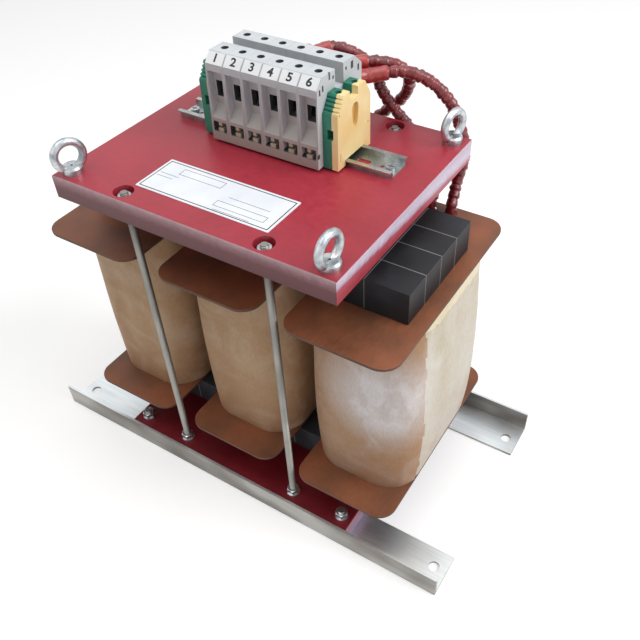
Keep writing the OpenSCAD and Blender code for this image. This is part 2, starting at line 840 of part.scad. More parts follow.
module yoke() {
    for (i = [0:len(cell_xs) - 2])
        for (j = [0:len(cell_ys) - 2])
            translate([cell_xs[i] + joint_t / 2, cell_ys[j] + joint_t / 2, 0])
                cube([cell_xs[i + 1] - cell_xs[i] - joint_t, cell_ys[j + 1] - cell_ys[j] - joint_t,
                    yoke_h]);
}

module upper_yoke() {
    color(core_grey)
        translate([0, 0, z_upper_yoke])
            yoke();
}

module lower_yoke() {
    color(core_grey)
        translate([0, 0, z_lower_yoke])
            yoke();
}

module yoke_joints() {
    color(resin)
        for (z = [z_lower_yoke, z_upper_yoke])
            translate([0, 0, z])
                union() {
                    for (x = joint_xs)
                        translate([x, 0, 0])
                            block(joint_t, yoke_w, yoke_h);
                    for (y = joint_ys)
                        translate([0, y, 0])
                            block(yoke_l, joint_t, yoke_h);
                }
}

module core_legs() {
    color(core_grey)
        for (x = coil_xs)
            for (i = [0:leg_blocks - 1])
                translate([x, 0, z_legs + gap_t + i * (leg_block_h + gap_t)])
                    block(leg_l, leg_w, leg_block_h);
}

module gap_spacers() {
    color(resin)
        for (x = coil_xs)
            for (i = [0:leg_blocks])
                translate([x, 0, z_legs + i * (leg_block_h + gap_t)])
                    block(leg_l, leg_w, gap_t);
}

// Coils
module shell(l, w, r, in_l, in_w, in_r, h) {
    linear_extrude(h)
        difference() {
            rounded(l, w, r);
            rounded(in_l, in_w, in_r);
        }
}

module coil_formers() {
    color(cheek_brown)
        for (x = coil_xs)
            translate([x, 0, cheek_bottom])
                shell(former_l, former_w, former_r + former_t, former_in_l, former_in_w, former_r,
                    cheek_top - cheek_bottom);
}

module windings() {
    color(copper)
        for (x = coil_xs)
            translate([x, 0, cheek_bottom + winding_inset])
                shell(winding_l, winding_w, winding_r, former_l + 2 * clear, former_w + 2 * clear,
                    winding_inner_r, cheek_top - cheek_bottom - 2 * winding_inset);
}

module duct_sticks() {
    stick_y = winding_w / 2 + clear + duct_t / 2;
    color(cheek_brown)
        for (x = coil_xs)
            for (y = [-stick_y, stick_y])
                for (i = [1:duct_sticks_n])
                    translate([x + (i - (duct_sticks_n + 1) / 2) * duct_pitch, y, cheek_bottom])
                        block(duct_stick_w, duct_t, cheek_top - cheek_bottom);
}

function wrap_half(share) = wrap_l / 2 + wrap_swell * sin(180 * pow(share, wrap_low_share));

module wrap_skin(inset, reach) {
    h = cheek_top - cheek_bottom;
    shares = [for (i = [0:wrap_rings - 1]) i / (wrap_rings - 1)];
    loft([for (s = shares)
        let (z = cheek_bottom + s * h + (s == 0 ? -reach : s == 1 ? reach : 0))
            rounded_ring(2 * wrap_half(s) - 2 * inset, wrap_w - 2 * inset, wrap_r - inset, z)]);
}

module coil_wrap(i) {
    color(wrap_tan)
        translate([coil_xs[i - 1], 0, 0])
            difference() {
                wrap_skin(0, 0);
                wrap_skin(wrap_t, over);
            }
}

module coil_1_wrap() {
    coil_wrap(1);
}

module coil_2_wrap() {
    coil_wrap(2);
}

module coil_3_wrap() {
    coil_wrap(3);
}

module cheek(lead_holes) {
    linear_extrude(cheek_t)
        difference() {
            rounded(cheek_l, cheek_w, cheek_r);
            square([former_in_l, former_in_w], center = true);
            if (lead_holes)
                for (x = [start_x, finish_x])
                    translate([x, cheek_w / 2 - lead_hole_inset])
                        circle(d = lead_d + 2 * lead_hole_clear);
        }
}

module coil_cheeks() {
    color(cheek_brown)
        for (x = coil_xs) {
            translate([x, 0, z_legs])
                cheek(false);
            translate([x, 0, cheek_top])
                cheek(true);
        }
}

// Leads
module swept(route, r) {
    loft(sweep_rings(route, r, lead_sides));
}

module coil_leads(coil) {
    color(lead_red)
        for (i = [2 * coil - 2, 2 * coil - 1])
            swept(lead_routes[i], lead_d / 2);
}

module coil_1_leads() {
    coil_leads(1);
}

module coil_2_leads() {
    coil_leads(2);
}

module coil_3_leads() {
    coil_leads(3);
}

module lead_sleeves() {
    color(lead_red)
        for (route = lead_routes) {
            covered = [for (i = [0:sleeve_points - 1]) route[i]];
            longer = [for (i = [0:sleeve_points]) route[i]];
            before = [route[0] - unit(route[1] - route[0]) * over];
            difference() {
                swept(covered, lead_d / 2 + sleeve_clear + sleeve_wall);
                swept(concat(before, longer), lead_d / 2 + sleeve_clear);
            }
        }
}

module lead_ferrules() {
    color(zinc)
        for (route = lead_routes)
            translate([route[0][0], din_y + screw_rear - cage_d / 2 - clear, route[0][2]])
                rotate([-90, 0, 0])
                    cylinder(d = ferrule_d, h = route[0][1] - din_y - screw_rear + cage_d / 2 + clear);
}

// Terminal rail
module din_profile() {
    union() {
        translate([-din_channel / 2, 0])
            square([din_channel, din_t]);
        for (s = [-1, 1]) {
            translate([s * (din_channel - din_t) / 2 - din_t / 2, 0])
                square([din_t, din_h]);
            translate([s * (din_w + din_channel - 2 * din_t) / 4 - (din_w - din_channel + 2 * din_t) / 4,
                din_h - din_t])
                square([(din_w - din_channel + 2 * din_t) / 2, din_t]);
        }
    }
}

module din_slot() {
    translate([0, 0, -over])
        linear_extrude(din_t + 2 * over)
            union() {
                square([din_slot_l - din_slot_w, din_slot_w], center = true);
                for (s = [-1, 1])
                    translate([s * (din_slot_l - din_slot_w) / 2, 0])
                        circle(d = din_slot_w);
            }
}

module din_rail() {
    color(zinc)
        translate([term_row_x, din_y, z_top])
            difference() {
                along_x(din_l)
                    din_profile();
                for (i = [-2.5:1:2.5])
                    translate([i * din_slot_pitch, 0, 0])
                        din_slot();
                for (s = [-1, 1]) {
                    translate([s * din_screw_x, 0, -over])
                        cylinder(d = fix_d + hole_clear, h = din_t + 2 * over);
                    translate([s * din_hole_x, 0, -over])
                        cylinder(d = din_hole_d, h = din_t + 2 * over);
                }
            }
}

module din_rail_screws() {
    color(zinc)
        for (s = [-1, 1])
            translate([term_row_x + s * din_screw_x, din_y, z_top + din_t])
                difference() {
                    union() {
                        translate([0, 0, -fix_shank_l])
                            cylinder(d = fix_d, h = fix_shank_l + fix_head_h / 2);
                        cylinder(d = fix_head_d, h = fix_head_h);
                    }
                    translate([0, 0, fix_head_h - fix_slot_h])
                        union() {
                            block(fix_head_d - fix_d / 2, fix_slot_w, fix_slot_h + over);
                            block(fix_slot_w, fix_head_d - fix_d / 2, fix_slot_h + over);
                        }
                }
}

// Cut for the rail's two lips and the channel between them, in a housing's profile
module rail_cut() {
    translate([-seat_w / 2, seat_under])
        square([seat_w, seat_over - seat_under]);
    translate([-channel_w / 2, -over])
        square([channel_w, seat_over + over]);
}

// Phase terminals: profile in Y and Z, from the rail's middle and the plate's top
module term_profile() {
    difference() {
        polygon([[-term_front, term_under], [-term_front + term_lean, term_h - brow_drop],
            [-term_front + term_lean + brow_run, term_h], [-tower_gap_front, term_h],
            [-tower_gap_front, valley_h], [tower_gap_rear, valley_h], [tower_gap_rear, term_h],
            [term_rear - rear_cut_run, term_h], [term_rear, term_h - rear_cut_drop],
            [term_rear, term_under]]);
        rail_cut();
    }
}

// A wire bay, cut from the front face towards the back
module bay_cut() {
    translate([0, -term_front, 0])
        along_x(term_w - 2 * rib_t)
            polygon([[-over, bay_bottom], [bay_depth, bay_bottom + bay_floor_rise],
                [bay_depth, bay_top - bay_roof_fall], [-over, bay_top]]);
    for (s = [-1, 1])
        translate([s * (latch_w + latch_tongue_w) / 4, -term_front - over, latch_bottom])
            translate([-(latch_w - latch_tongue_w) / 4, 0, 0])
                cube([(latch_w - latch_tongue_w) / 2, latch_depth + over, latch_h]);
}

// Room for a clamp: a pocket from the left face and a hole for the screwdriver
module clamp_room(w, wall_x, cage_l, cage_y, under, head_over, hole_d, roof) {
    translate([-w / 2 - over, -cage_y / 2 - pocket_over, under])
        cube([w / 2 + over + wall_x, cage_y + 2 * pocket_over, head_over - under]);
    translate([0, 0, head_over - over])
        cylinder(d = hole_d, h = roof + 2 * over);
}

module term_housing(i) {
    room_x = cage_w / 2 + pocket_over;
    room_under = cage_rest - clear;
    head_over = screw_head_under + screw_head_h + clear;
    tunnel = term_front - screw_front;
    rear_tunnel = term_rear - screw_rear;
    color(term_grey)
        translate([term_x(i), din_y, z_top])
            difference() {
                along_x(term_w)
                    term_profile();
                bay_cut();
                translate([0, term_rear - term_front, 0])
                    mirror([0, 1, 0])
                        bay_cut();
                translate([0, -screw_front, 0])
                    clamp_room(term_w, room_x, cage_w, cage_d, room_under, head_over,
                        driver_hole_d, top_wall);
                translate([0, screw_rear, 0])
                    clamp_room(term_w, room_x, cage_w, cage_d, room_under, head_over,
                        driver_hole_d, top_wall);
                translate([-entry_w / 2, -screw_front - tunnel, bar_under - entry_h])
                    cube([entry_w, tunnel, entry_h]);
                translate([-entry_w / 2, screw_rear, bar_under - entry_h])
                    cube([entry_w, rear_tunnel + over, entry_h]);
                translate([-term_w / 2 - over, -screw_front, bar_under - clear])
                    cube([term_w / 2 + over + current_bar_w / 2 + clear, screw_front + screw_rear,
                        bar_t + 2 * clear]);
            }
}

module terminal_1() {
    term_housing(1);
}

module terminal_2() {
    term_housing(2);
}

module terminal_3() {
    term_housing(3);
}

module terminal_4() {
    term_housing(4);
}

module terminal_5() {
    term_housing(5);
}

module terminal_6() {
    term_housing(6);
}

module terminal_markers() {
    slope = atan2(brow_drop, brow_run);
    slope_l = norm([brow_drop, brow_run]);
    color(white)
        for (i = [1:term_n])
            translate([term_x(i), din_y - term_front + term_lean, z_top + term_h - brow_drop])
                rotate([slope, 0, 0])
                    translate([-marker_w / 2, marker_edge, fit])
                        cube([marker_w, slope_l - 2 * marker_edge, marker_t]);
}

// Clamps: a screw over the current bar, and the cage that it lifts
module screw(d, head_d, head_h, af, from, to) {
    difference() {
        union() {
            translate([0, 0, from])
                cylinder(d = d, h = to - from + head_h / 2);
            translate([0, 0, to])
                cylinder(d = head_d, h = head_h);
        }
        translate([0, 0, to + head_h * (1 - socket_depth_share)])
            cylinder(d = af / cos(30), h = head_h, $fn = 6);
    }
}

module cage(w, d, h, floor_t, window_h, wall, hole_d) {
    difference() {
        block(w, d, h);
        translate([0, 0, floor_t])
            block(w - 2 * wall, d + 2 * over, window_h);
        translate([0, 0, floor_t + window_h - over])
            cylinder(d = hole_d, h = h);
    }
}

module term_screw() {
    screw(screw_d, screw_head_d, screw_head_h, socket_af, bar_under + bar_t + clear,
        screw_head_under);
}

module term_cage() {
    cage(cage_w, cage_d, cage_h, cage_floor, cage_window_h, cage_wall, screw_d + 2 * fit);
}

module clamp_screw(i) {
    color(zinc)
        translate([term_x(i), din_y - screw_front, z_top])
            term_screw();
}

module clamp_cage(i) {
    color(zinc)
        translate([term_x(i), din_y - screw_front, z_top + cage_rest])
            term_cage();
}

module clamp_screw_1() {
    clamp_screw(1);
}

module clamp_screw_2() {
    clamp_screw(2);
}

module clamp_screw_3() {
    clamp_screw(3);
}

module clamp_screw_4() {
    clamp_screw(4);
}

module clamp_screw_5() {
    clamp_screw(5);
}

module clamp_screw_6() {
    clamp_screw(6);
}

module clamp_cage_1() {
    clamp_cage(1);
}

module clamp_cage_2() {
    clamp_cage(2);
}

module clamp_cage_3() {
    clamp_cage(3);
}

module clamp_cage_4() {
    clamp_cage(4);
}

module clamp_cage_5() {
    clamp_cage(5);
}

module clamp_cage_6() {
    clamp_cage(6);
}

module rear_clamps() {
    color(zinc)
        for (i = [1:term_n])
            translate([term_x(i), din_y + screw_rear, z_top]) {
                term_screw();
                translate([0, 0, cage_rest + rear_close])
                    term_cage();
            }
}

module current_bars() {
    color(copper) {
        for (i = [1:term_n])
            translate([term_x(i) - current_bar_w / 2, din_y - screw_front - cage_d / 2 - current_bar_end,
                z_top + bar_under])
                cube([current_bar_w, screw_front + screw_rear + cage_d + 2 * current_bar_end, bar_t]);
        for (x = [pe_left_x, pe_right_x])
            translate([x + pe_screw_x - pe_bar_w / 2,
                din_y - pe_screw_front - pe_cage_d / 2 - current_bar_end, z_top + pe_bar_under])
                cube([pe_bar_w, pe_screw_front + pe_screw_rear + pe_cage_d + 2 * current_bar_end,
                    pe_bar_t]);
    }
}

// Earth terminals: profile in Y and Z, from the rail's middle and the plate's top
module pe_profile() {
    slope_h = pe_h - pe_shoulder_h;
    difference() {
        polygon([[-pe_front, pe_foot_under], [pe_foot_l - pe_front, pe_foot_under],
            [pe_foot_l - pe_front, seat_over], [pe_rear - pe_foot_l, seat_over],
            [pe_rear - pe_foot_l, pe_foot_under], [pe_rear, pe_foot_under],
            [pe_rear, pe_shoulder_h], [pe_rear - pe_rear_run, pe_h - pe_rear_drop],
            [pe_tower_rear, pe_h - pe_rear_drop], [pe_tower_rear, pe_valley_h],
            [-pe_tower_front, pe_valley_h], [-pe_tower_front, pe_h],
            [-pe_front + pe_lean + pe_slope_run, pe_h], [-pe_front + pe_lean, pe_shoulder_h]]);
        rail_cut();
        for (i = [1:pe_teeth])
            translate([-pe_front + pe_lean + pe_slope_run * i / (pe_teeth + 1),
                pe_shoulder_h + slope_h * i / (pe_teeth + 1)])
                square([2 * pe_tooth_cut, pe_tooth_cut], center = true);
    }
}

module pe_room(under, head_over) {
    for (y = [-pe_screw_front, pe_screw_rear])
        translate([pe_screw_x, y, 0]) {
            translate([-pe_cage_w / 2 - pocket_over, -pe_cage_d / 2 - pocket_over, under])
                cube([pe_cage_w + 2 * pocket_over, pe_cage_d + 2 * pocket_over, head_over - under]);
            translate([0, 0, head_over - over])
                cylinder(d = pe_driver_hole_d, h = pe_top_wall + pe_rear_drop + 2 * over);
        }
    translate([pe_screw_x - pe_bar_w / 2 - clear, -pe_screw_front, pe_bar_under - clear])
        cube([pe_bar_w + 2 * clear, pe_screw_front + pe_screw_rear, pe_bar_t + 2 * clear]);
    translate([pe_screw_x - pe_entry_w / 2, -pe_front - over, pe_bar_under - pe_entry_h])
        cube([pe_entry_w, pe_front + over - pe_screw_front, pe_entry_h]);
    translate([pe_screw_x - pe_entry_w / 2, pe_screw_rear, pe_bar_under - pe_entry_h])
        cube([pe_entry_w, pe_rear + over - pe_screw_rear, pe_entry_h]);
}

module pe_part(from, w) {
    difference() {
        translate([from + w / 2, 0, 0])
            along_x(w)
                pe_profile();
        pe_room(pe_cage_rest - clear, pe_head_under + pe_head_h + clear);
    }
}

module pe_left_body() {
    color(earth_green)
        translate([pe_left_x, din_y, z_top])
            pe_part(0, pe_body_w);
}

module pe_right_body() {
    color(earth_green)
        translate([pe_right_x, din_y, z_top])
            pe_part(0, pe_body_w);
}

// Marks pressed into a cover's flat face
module pe_face_marks() {
    drop_y = 1.5;
    drop_z = 49;
    translate([pe_w - pe_mark_depth, 0, 0])
        rotate([90, 0, 90])
            linear_extrude(pe_mark_depth + over)
                union() {
                    translate([drop_y, drop_z])
                        circle(d = pe_drop_d);
                    polygon([[drop_y - pe_drop_d / 2, drop_z], [drop_y + pe_drop_d / 2, drop_z],
                        [drop_y + pe_drop_tip / 2, drop_z - pe_drop_l],
                        [drop_y - pe_drop_tip / 2, drop_z - pe_drop_l]]);
                    translate([-pe_front + 2 * pe_pin_d, pe_shoulder_h])
                        circle(d = pe_pin_d);
                    translate([pe_rear - 2 * pe_pin_d, pe_shoulder_h / 2])
                        circle(d = pe_pin_d);
                    translate([-pe_front + 2 * pe_pin_d, pe_slit_l])
                        square([pe_slit_w, pe_slit_l]);
                }
}

module pe_covers() {
    color(earth_yellow)
        for (x = [pe_left_x, pe_right_x])
            translate([x, din_y, z_top])
                difference() {
                    pe_part(pe_body_w, pe_cover_w);
                    pe_face_marks();
                }
}

module pe_screw(x, y) {
    color(zinc)
        translate([x + pe_screw_x, din_y + y, z_top])
            screw(pe_screw_d, pe_head_d, pe_head_h, pe_socket_af, pe_bar_under + pe_bar_t + clear,
                pe_head_under);
}

module pe_cage(x, y) {
    color(zinc)
        translate([x + pe_screw_x, din_y + y, z_top + pe_cage_rest])
            cage(pe_cage_w, pe_cage_d, pe_cage_h, pe_cage_floor, pe_window_h, pe_cage_wall,
                pe_screw_d + 2 * fit);
}

module pe_rear_clamps() {
    for (x = [pe_left_x, pe_right_x]) {
        pe_screw(x, pe_screw_rear);
        pe_cage(x, pe_screw_rear);
    }
}

module pe_left_screw() {
    pe_screw(pe_left_x, -pe_screw_front);
}

module pe_right_screw() {
    pe_screw(pe_right_x, -pe_screw_front);
}

module pe_left_cage() {
    pe_cage(pe_left_x, -pe_screw_front);
}

module pe_right_cage() {
    pe_cage(pe_right_x, -pe_screw_front);
}

module nameplate() {
    label_x = -1.5;
    color(white)
        translate([label_x, label_inset - plate_w / 2, z_top])
            block(label_l, label_w, label_t);
}

front_rail();
rear_rail();
base_plate();
top_plate();
tie_rods();
hex_nuts();
flat_washers();
rail_screws();
eye_bolts_front();
eye_bolts_rear();
upper_yoke();
lower_yoke();
yoke_joints();
core_legs();
gap_spacers();
support_bars();
coil_formers();
windings();
duct_sticks();
coil_1_wrap();
coil_2_wrap();
coil_3_wrap();
coil_cheeks();
coil_1_leads();
coil_2_leads();
coil_3_leads();
lead_sleeves();
lead_ferrules();
din_rail();
din_rail_screws();
terminal_1();
terminal_2();
terminal_3();
terminal_4();
terminal_5();
terminal_6();
terminal_markers();
current_bars();
rear_clamps();
nameplate();
pe_left_body();
pe_right_body();
pe_covers();
pe_rear_clamps();
clamp_screw_1();
clamp_screw_2();
clamp_screw_3();
clamp_screw_4();
clamp_screw_5();
clamp_screw_6();
clamp_cage_1();
clamp_cage_2();
clamp_cage_3();
clamp_cage_4();
clamp_cage_5();
clamp_cage_6();
pe_left_screw();
pe_right_screw();
pe_left_cage();
pe_right_cage();
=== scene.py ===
import math
import random

import bmesh
import bpy
from mathutils import Matrix, Vector, noise


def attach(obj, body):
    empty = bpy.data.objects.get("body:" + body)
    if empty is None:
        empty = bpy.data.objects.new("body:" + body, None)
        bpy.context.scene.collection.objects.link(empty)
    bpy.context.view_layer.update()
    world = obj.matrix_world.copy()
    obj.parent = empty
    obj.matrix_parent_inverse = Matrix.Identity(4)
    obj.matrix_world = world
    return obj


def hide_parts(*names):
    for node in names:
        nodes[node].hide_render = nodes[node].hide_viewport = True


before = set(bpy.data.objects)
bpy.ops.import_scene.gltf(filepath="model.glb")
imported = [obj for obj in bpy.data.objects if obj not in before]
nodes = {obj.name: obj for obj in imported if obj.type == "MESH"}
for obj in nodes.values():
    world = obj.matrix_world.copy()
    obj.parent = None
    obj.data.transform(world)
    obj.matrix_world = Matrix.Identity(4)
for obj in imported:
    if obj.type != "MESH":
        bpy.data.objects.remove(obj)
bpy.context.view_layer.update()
mm = 0.001
print("frame loaded,", len(nodes), "nodes")

# the camera stands where the photographer stood, in mm
cameraSetup = {
    "place": (401.793, -499.350, 762.476),
    "right": (0.854597, 0.518926, -0.019493),
    "down": (0.344015, -0.593863, -0.727311),
    "forward": (-0.388996, 0.614852, -0.686032),
    "lens": 41.3456,
    "shift": (-0.03980, 0.00795),
}


def linked(name, data):
    obj = bpy.data.objects.new(name, data)
    bpy.context.scene.collection.objects.link(obj)
    return obj


def makeCamera(setup):
    data = bpy.data.cameras.new("camera")
    cam = linked("camera", data)
    right, down, forward = (Vector(setup[k]).normalized() for k in ("right", "down", "forward"))
    turn = Matrix((right, -down, -forward)).transposed().to_4x4()
    cam.matrix_world = Matrix.Translation(Vector(setup["place"]) * mm) @ turn
    data.sensor_width = 36
    data.lens = setup["lens"]
    data.shift_x, data.shift_y = setup["shift"]
    data.clip_start, data.clip_end = 0.05, 30
    data.dof.use_dof = False
    bpy.context.scene.camera = cam


makeCamera(cameraSetup)
bpy.context.scene.view_settings.view_transform = "Standard"
print("camera set")


def linear(code):
    # an sRGB hex colour as Blender's linear numbers
    parts = [int(code[i:i + 2], 16) / 255 for i in (1, 3, 5)]
    return tuple(v / 12.92 if v <= 0.04045 else ((v + 0.055) / 1.055) ** 2.4 for v in parts) + (1,)


def perMm(size):
    # pattern scale for a feature of that many millimetres
    return 1000 / size


def wire(tree, node, feeds):
    # sets or links a node's inputs; a node given as the value stands for its first output in use
    for socket, value in feeds.items():
        if isinstance(value, bpy.types.Node):
            value = next(output for output in value.outputs if output.enabled)
        if isinstance(value, bpy.types.NodeSocket):
            tree.links.new(value, node.inputs[socket])
        else:
            node.inputs[socket].default_value = value


def put(tree, kind, feeds=None, stops=None, **settings):
    # adds one node with its settings, links and colour stops
    node = tree.nodes.new("ShaderNode" + kind)
    for name, value in settings.items():
        setattr(node, name, value)
    wire(tree, node, feeds or {})
    if stops:
        ramp = node.color_ramp
        ramp.elements.remove(ramp.elements[1])
        ramp.elements[0].position = stops[0][0]
        ramp.elements[0].color = linear(stops[0][1])
        for at, code in stops[1:]:
            ramp.elements.new(at).color = linear(code)
    return node


def startMaterial(name, values):
    material = bpy.data.materials.new(name)
    material.use_nodes = True
    tree = material.node_tree
    shader = tree.nodes["Principled BSDF"]
    wire(tree, shader, values)
    place = put(tree, "TexCoord").outputs["Object"]
    return material, tree, shader, place


def dusted(tree, place, tint, dustAndShade):
    # dust and painted shade, with a painted warm reflection of the red plate, on what faces the front,
    # thickest at the terminals' foot
    way = put(tree, "SeparateXYZ", {0: put(tree, "NewGeometry").outputs["Normal"]})
    front = put(tree, "MapRange", {0: way.outputs["Y"], 1: 0.0, 2: -0.6, 3: 0.0, 4: 1.0})
    axes = put(tree, "SeparateXYZ", {0: place})
    low = put(tree, "MapRange", {0: axes.outputs["Z"], 1: 395 * mm, 2: 470 * mm, 3: 1.0, 4: 0.35})
    amount = put(tree, "Math", {0: front, 1: low}, operation="MULTIPLY")
    return put(tree, "Mix", {"Factor": amount, 6: tint, 7: linear(dustAndShade)}, data_type="RGBA")


def clouded(name, values, clouds, stops, rough, relief, bump, dustAndShade=None):
    # the plain kind of surface: broad clouds change its tint and dullness, over a fine relief
    # clouds and relief are a size in mm and a detail, bump is a strength and a height in mm
    material, tree, shader, place = startMaterial(name, values)
    broad = put(tree, "TexNoise", {"Vector": place, "Scale": perMm(clouds[0]), "Detail": clouds[1]})
    tint = put(tree, "ValToRGB", {0: broad}, stops)
    wear = put(tree, "MapRange", {0: broad, 1: 0.3, 2: 0.7, 3: rough[0], 4: rough[1]})
    fine = put(tree, "TexNoise", {"Vector": place, "Scale": perMm(relief[0]), "Detail": relief[1]})
    skin = put(tree, "Bump", {"Height": fine, "Strength": bump[0], "Distance": bump[1] * mm})
    # dust with painted shade on the faces that look to the front, where a colour for it is given
    colour = dusted(tree, place, tint, dustAndShade) if dustAndShade else tint
    wire(tree, shader, {"Base Color": colour, "Roughness": wear, "Normal": skin})
    return material


def flecked(tree, colour, pattern, stops):
    # a colour with a fine pattern printed over it
    fine = put(tree, "ValToRGB", {0: pattern}, stops)
    return put(tree, "Mix", {"Factor": 1.0, 6: colour, 7: fine}, data_type="RGBA", blend_type="MULTIPLY")


def zincPlate(name, light, dark, rough, blotch, dents):
    # zinc-plated steel: a bright grey metal with cloudy patches and a faintly uneven skin
    return clouded(name, {"Metallic": 1.0}, clouds=(blotch, 4.0), stops=[(0.32, dark), (0.62, light)],
                   rough=(rough + 0.1, rough - 0.05), relief=(1.1, 3.0), bump=(dents, 0.3))


def pressedBlock(name):
    # pressed powder core under black epoxy: nearly black, dry, with scuffed greyer patches
    return clouded(name, {"Specular IOR Level": 0.35}, clouds=(45, 5.0),
                   stops=[(0.3, "#17181B"), (0.52, "#232529"), (0.72, "#34363F")],
                   rough=(0.42, 0.62), relief=(0.9, 2.0), bump=(0.3, 0.12))


def shrinkSleeve(name, light, dark, rough):
    # heat-shrunk polyolefin: deep red, taut and glossy on the ridges
    return clouded(name, {"Coat Weight": 0.5, "Coat Roughness": 0.16}, clouds=(12, 4.0),
                   stops=[(0.3, dark), (0.68, light)], rough=(rough + 0.08, rough - 0.05),
                   relief=(2.6, 2.0), bump=(0.5, 0.6))


def mouldedNylon(name, light, dark, rough, dustAndShade=None):
    # injection-moulded polyamide: even colour, fine spark-eroded grain, with dust and painted shade low on
    # the front
    return clouded(name, {"IOR": 1.53, "Specular IOR Level": 0.4}, clouds=(24, 3.0),
                   stops=[(0.3, dark), (0.7, light)], rough=(rough + 0.05, rough - 0.03),
                   relief=(0.7, 2.0), bump=(0.2, 0.08), dustAndShade=dustAndShade)


def rolledAluminium(name):
    # mill-finish aluminium angle: draw lines along X and smudges; upright faces darkened with painted shade
    # and painted brown reflections, tops lightened with painted light
    material, tree, shader, place = startMaterial(name, {"Metallic": 1.0})
    along = put(tree, "Mapping", {"Vector": place, "Scale": (0.03, 1, 1)})
    lines = put(tree, "TexNoise", {"Vector": along, "Scale": perMm(1.6), "Detail": 5.0})
    stretch = put(tree, "Mapping", {"Vector": place, "Scale": (0.45, 1, 1)})
    smudgesAndReflections = put(tree, "TexNoise", {"Vector": stretch, "Scale": perMm(48), "Detail": 2.0})
    # painted shade and painted brown reflections for the upright faces
    uprightShade = put(tree, "ValToRGB", {0: smudgesAndReflections}, [(0.32, "#6E6761"), (0.5, "#8E8A85"), (0.66, "#B3B1AC")])
    # painted light for the tops
    flat = put(tree, "ValToRGB", {0: smudgesAndReflections}, [(0.3, "#CBD0D4"), (0.68, "#EEF3F5")])
    way = put(tree, "SeparateXYZ", {0: put(tree, "NewGeometry").outputs["Normal"]})
    # the normal's Z picks the painted light of the tops or the painted shade of the uprights
    up = put(tree, "MapRange", {0: way.outputs["Z"], 1: 0.3, 2: 0.7})
    tint = put(tree, "Mix", {"Factor": up, 6: uprightShade, 7: flat}, data_type="RGBA")
    streaked = flecked(tree, tint, lines, [(0.3, "#EEEEEE"), (0.62, "#FFFFFF")])
    rub = put(tree, "MapRange", {0: lines, 1: 0.25, 2: 0.75, 3: 0.42, 4: 0.34})
    bump = put(tree, "Bump", {"Height": lines, "Strength": 0.12, "Distance": 0.15 * mm})
    wire(tree, shader, {"Base Color": streaked, "Roughness": rub, "Normal": bump})
    return material


def redLaminate(name, look):
    # glass-polyester sheet: moulded satin faces; long edges in painted shade that rises to a painted
    # highlight with dust at the top arris; pale fibrous sawn ends, partly painted light
    material, tree, shader, place = startMaterial(name, {"IOR": 1.5, "Specular IOR Level": look["gloss"]})
    fibre = put(tree, "TexNoise", {"Vector": place, "Scale": perMm(6), "Detail": 6.0, "Roughness": 0.6})
    broad = put(tree, "TexNoise", {"Vector": place, "Scale": perMm(70), "Detail": 2.0})
    face = put(tree, "ValToRGB", {0: broad}, [(0.3, look["faceDark"]), (0.7, look["face"])])
    axes = put(tree, "SeparateXYZ", {0: place})
    wide = put(tree, "Math", {0: axes.outputs["X"]}, operation="ABSOLUTE")
    deep = put(tree, "Math", {0: axes.outputs["Y"]}, operation="ABSOLUTE")
    atEnd = put(tree, "Math", {0: wide, 1: (look["halfLength"] - 0.25) * mm}, operation="GREATER_THAN")
    atSide = put(tree, "Math", {0: deep, 1: (look["halfWidth"] - 0.7) * mm}, operation="GREATER_THAN")
    # height in the thickness, 0 at the underside and 1 at the top, ruffled by the fibres
    height = put(tree, "MapRange", {0: axes.outputs["Z"], 1: look["under"] * mm, 2: look["top"] * mm})
    ruffle = put(tree, "Math", {0: fibre, 1: 0.16, 2: -0.08}, operation="MULTIPLY_ADD")
    level = put(tree, "Math", {0: height, 1: ruffle}, operation="ADD")
    # the long edges: painted shade low in the thickness, a painted highlight with dust at the top arris
    side = put(tree, "ValToRGB", {0: level}, look["sideStops"])
    # the sawn end's pale band is widest at the rear
    back = put(tree, "Math", {0: axes.outputs["Y"], 1: look["bandTilt"] / mm}, operation="MULTIPLY")
    tilted = put(tree, "Math", {0: level, 1: back}, operation="ADD")
    # the pale band is partly the scuffed fibres' own colour, partly painted light from the right
    end = put(tree, "ValToRGB", {0: tilted}, look["endStops"])
    first = put(tree, "Mix", {"Factor": atSide, 6: face, 7: side}, data_type="RGBA")
    second = put(tree, "Mix", {"Factor": atEnd, 6: first, 7: end}, data_type="RGBA")
    fibrous = flecked(tree, second, fibre, [(0.3, "#E9E9E9"), (0.7, "#FFFFFF")])
    rough = put(tree, "MapRange",
                {0: fibre, 1: 0.3, 2: 0.7, 3: look["rough"] - 0.04, 4: look["rough"] + 0.06})
    bump = put(tree, "Bump", {"Height": fibre, "Strength": 0.12, "Distance": 0.3 * mm})
    wire(tree, shader, {"Base Color": fibrous, "Roughness": rough, "Normal": bump})
    return material


def phenolicBoard(name):
    # brown pressed board: a smooth varnished face over fine fibres
    material, tree, shader, place = startMaterial(name, {"Specular IOR Level": 0.45})
    felt = put(tree, "Mapping", {"Vector": place, "Scale": (1, 0.35, 1)})
    fibre = put(tree, "TexNoise", {"Vector": felt, "Scale": perMm(3), "Detail": 6.0})
    broad = put(tree, "TexNoise", {"Vector": place, "Scale": perMm(60), "Detail": 2.0})
    tint = put(tree, "ValToRGB", {0: broad}, [(0.3, "#64432F"), (0.7, "#94583A")])
    fibrous = flecked(tree, tint, fibre, [(0.3, "#F0ECE9"), (0.68, "#FFFFFF")])
    rough = put(tree, "MapRange", {0: fibre, 1: 0.3, 2: 0.7, 3: 0.42, 4: 0.55})
    bump = put(tree, "Bump", {"Height": fibre, "Strength": 0.15, "Distance": 0.2 * mm})
    wire(tree, shader, {"Base Color": fibrous, "Roughness": rough, "Normal": bump})
    return material


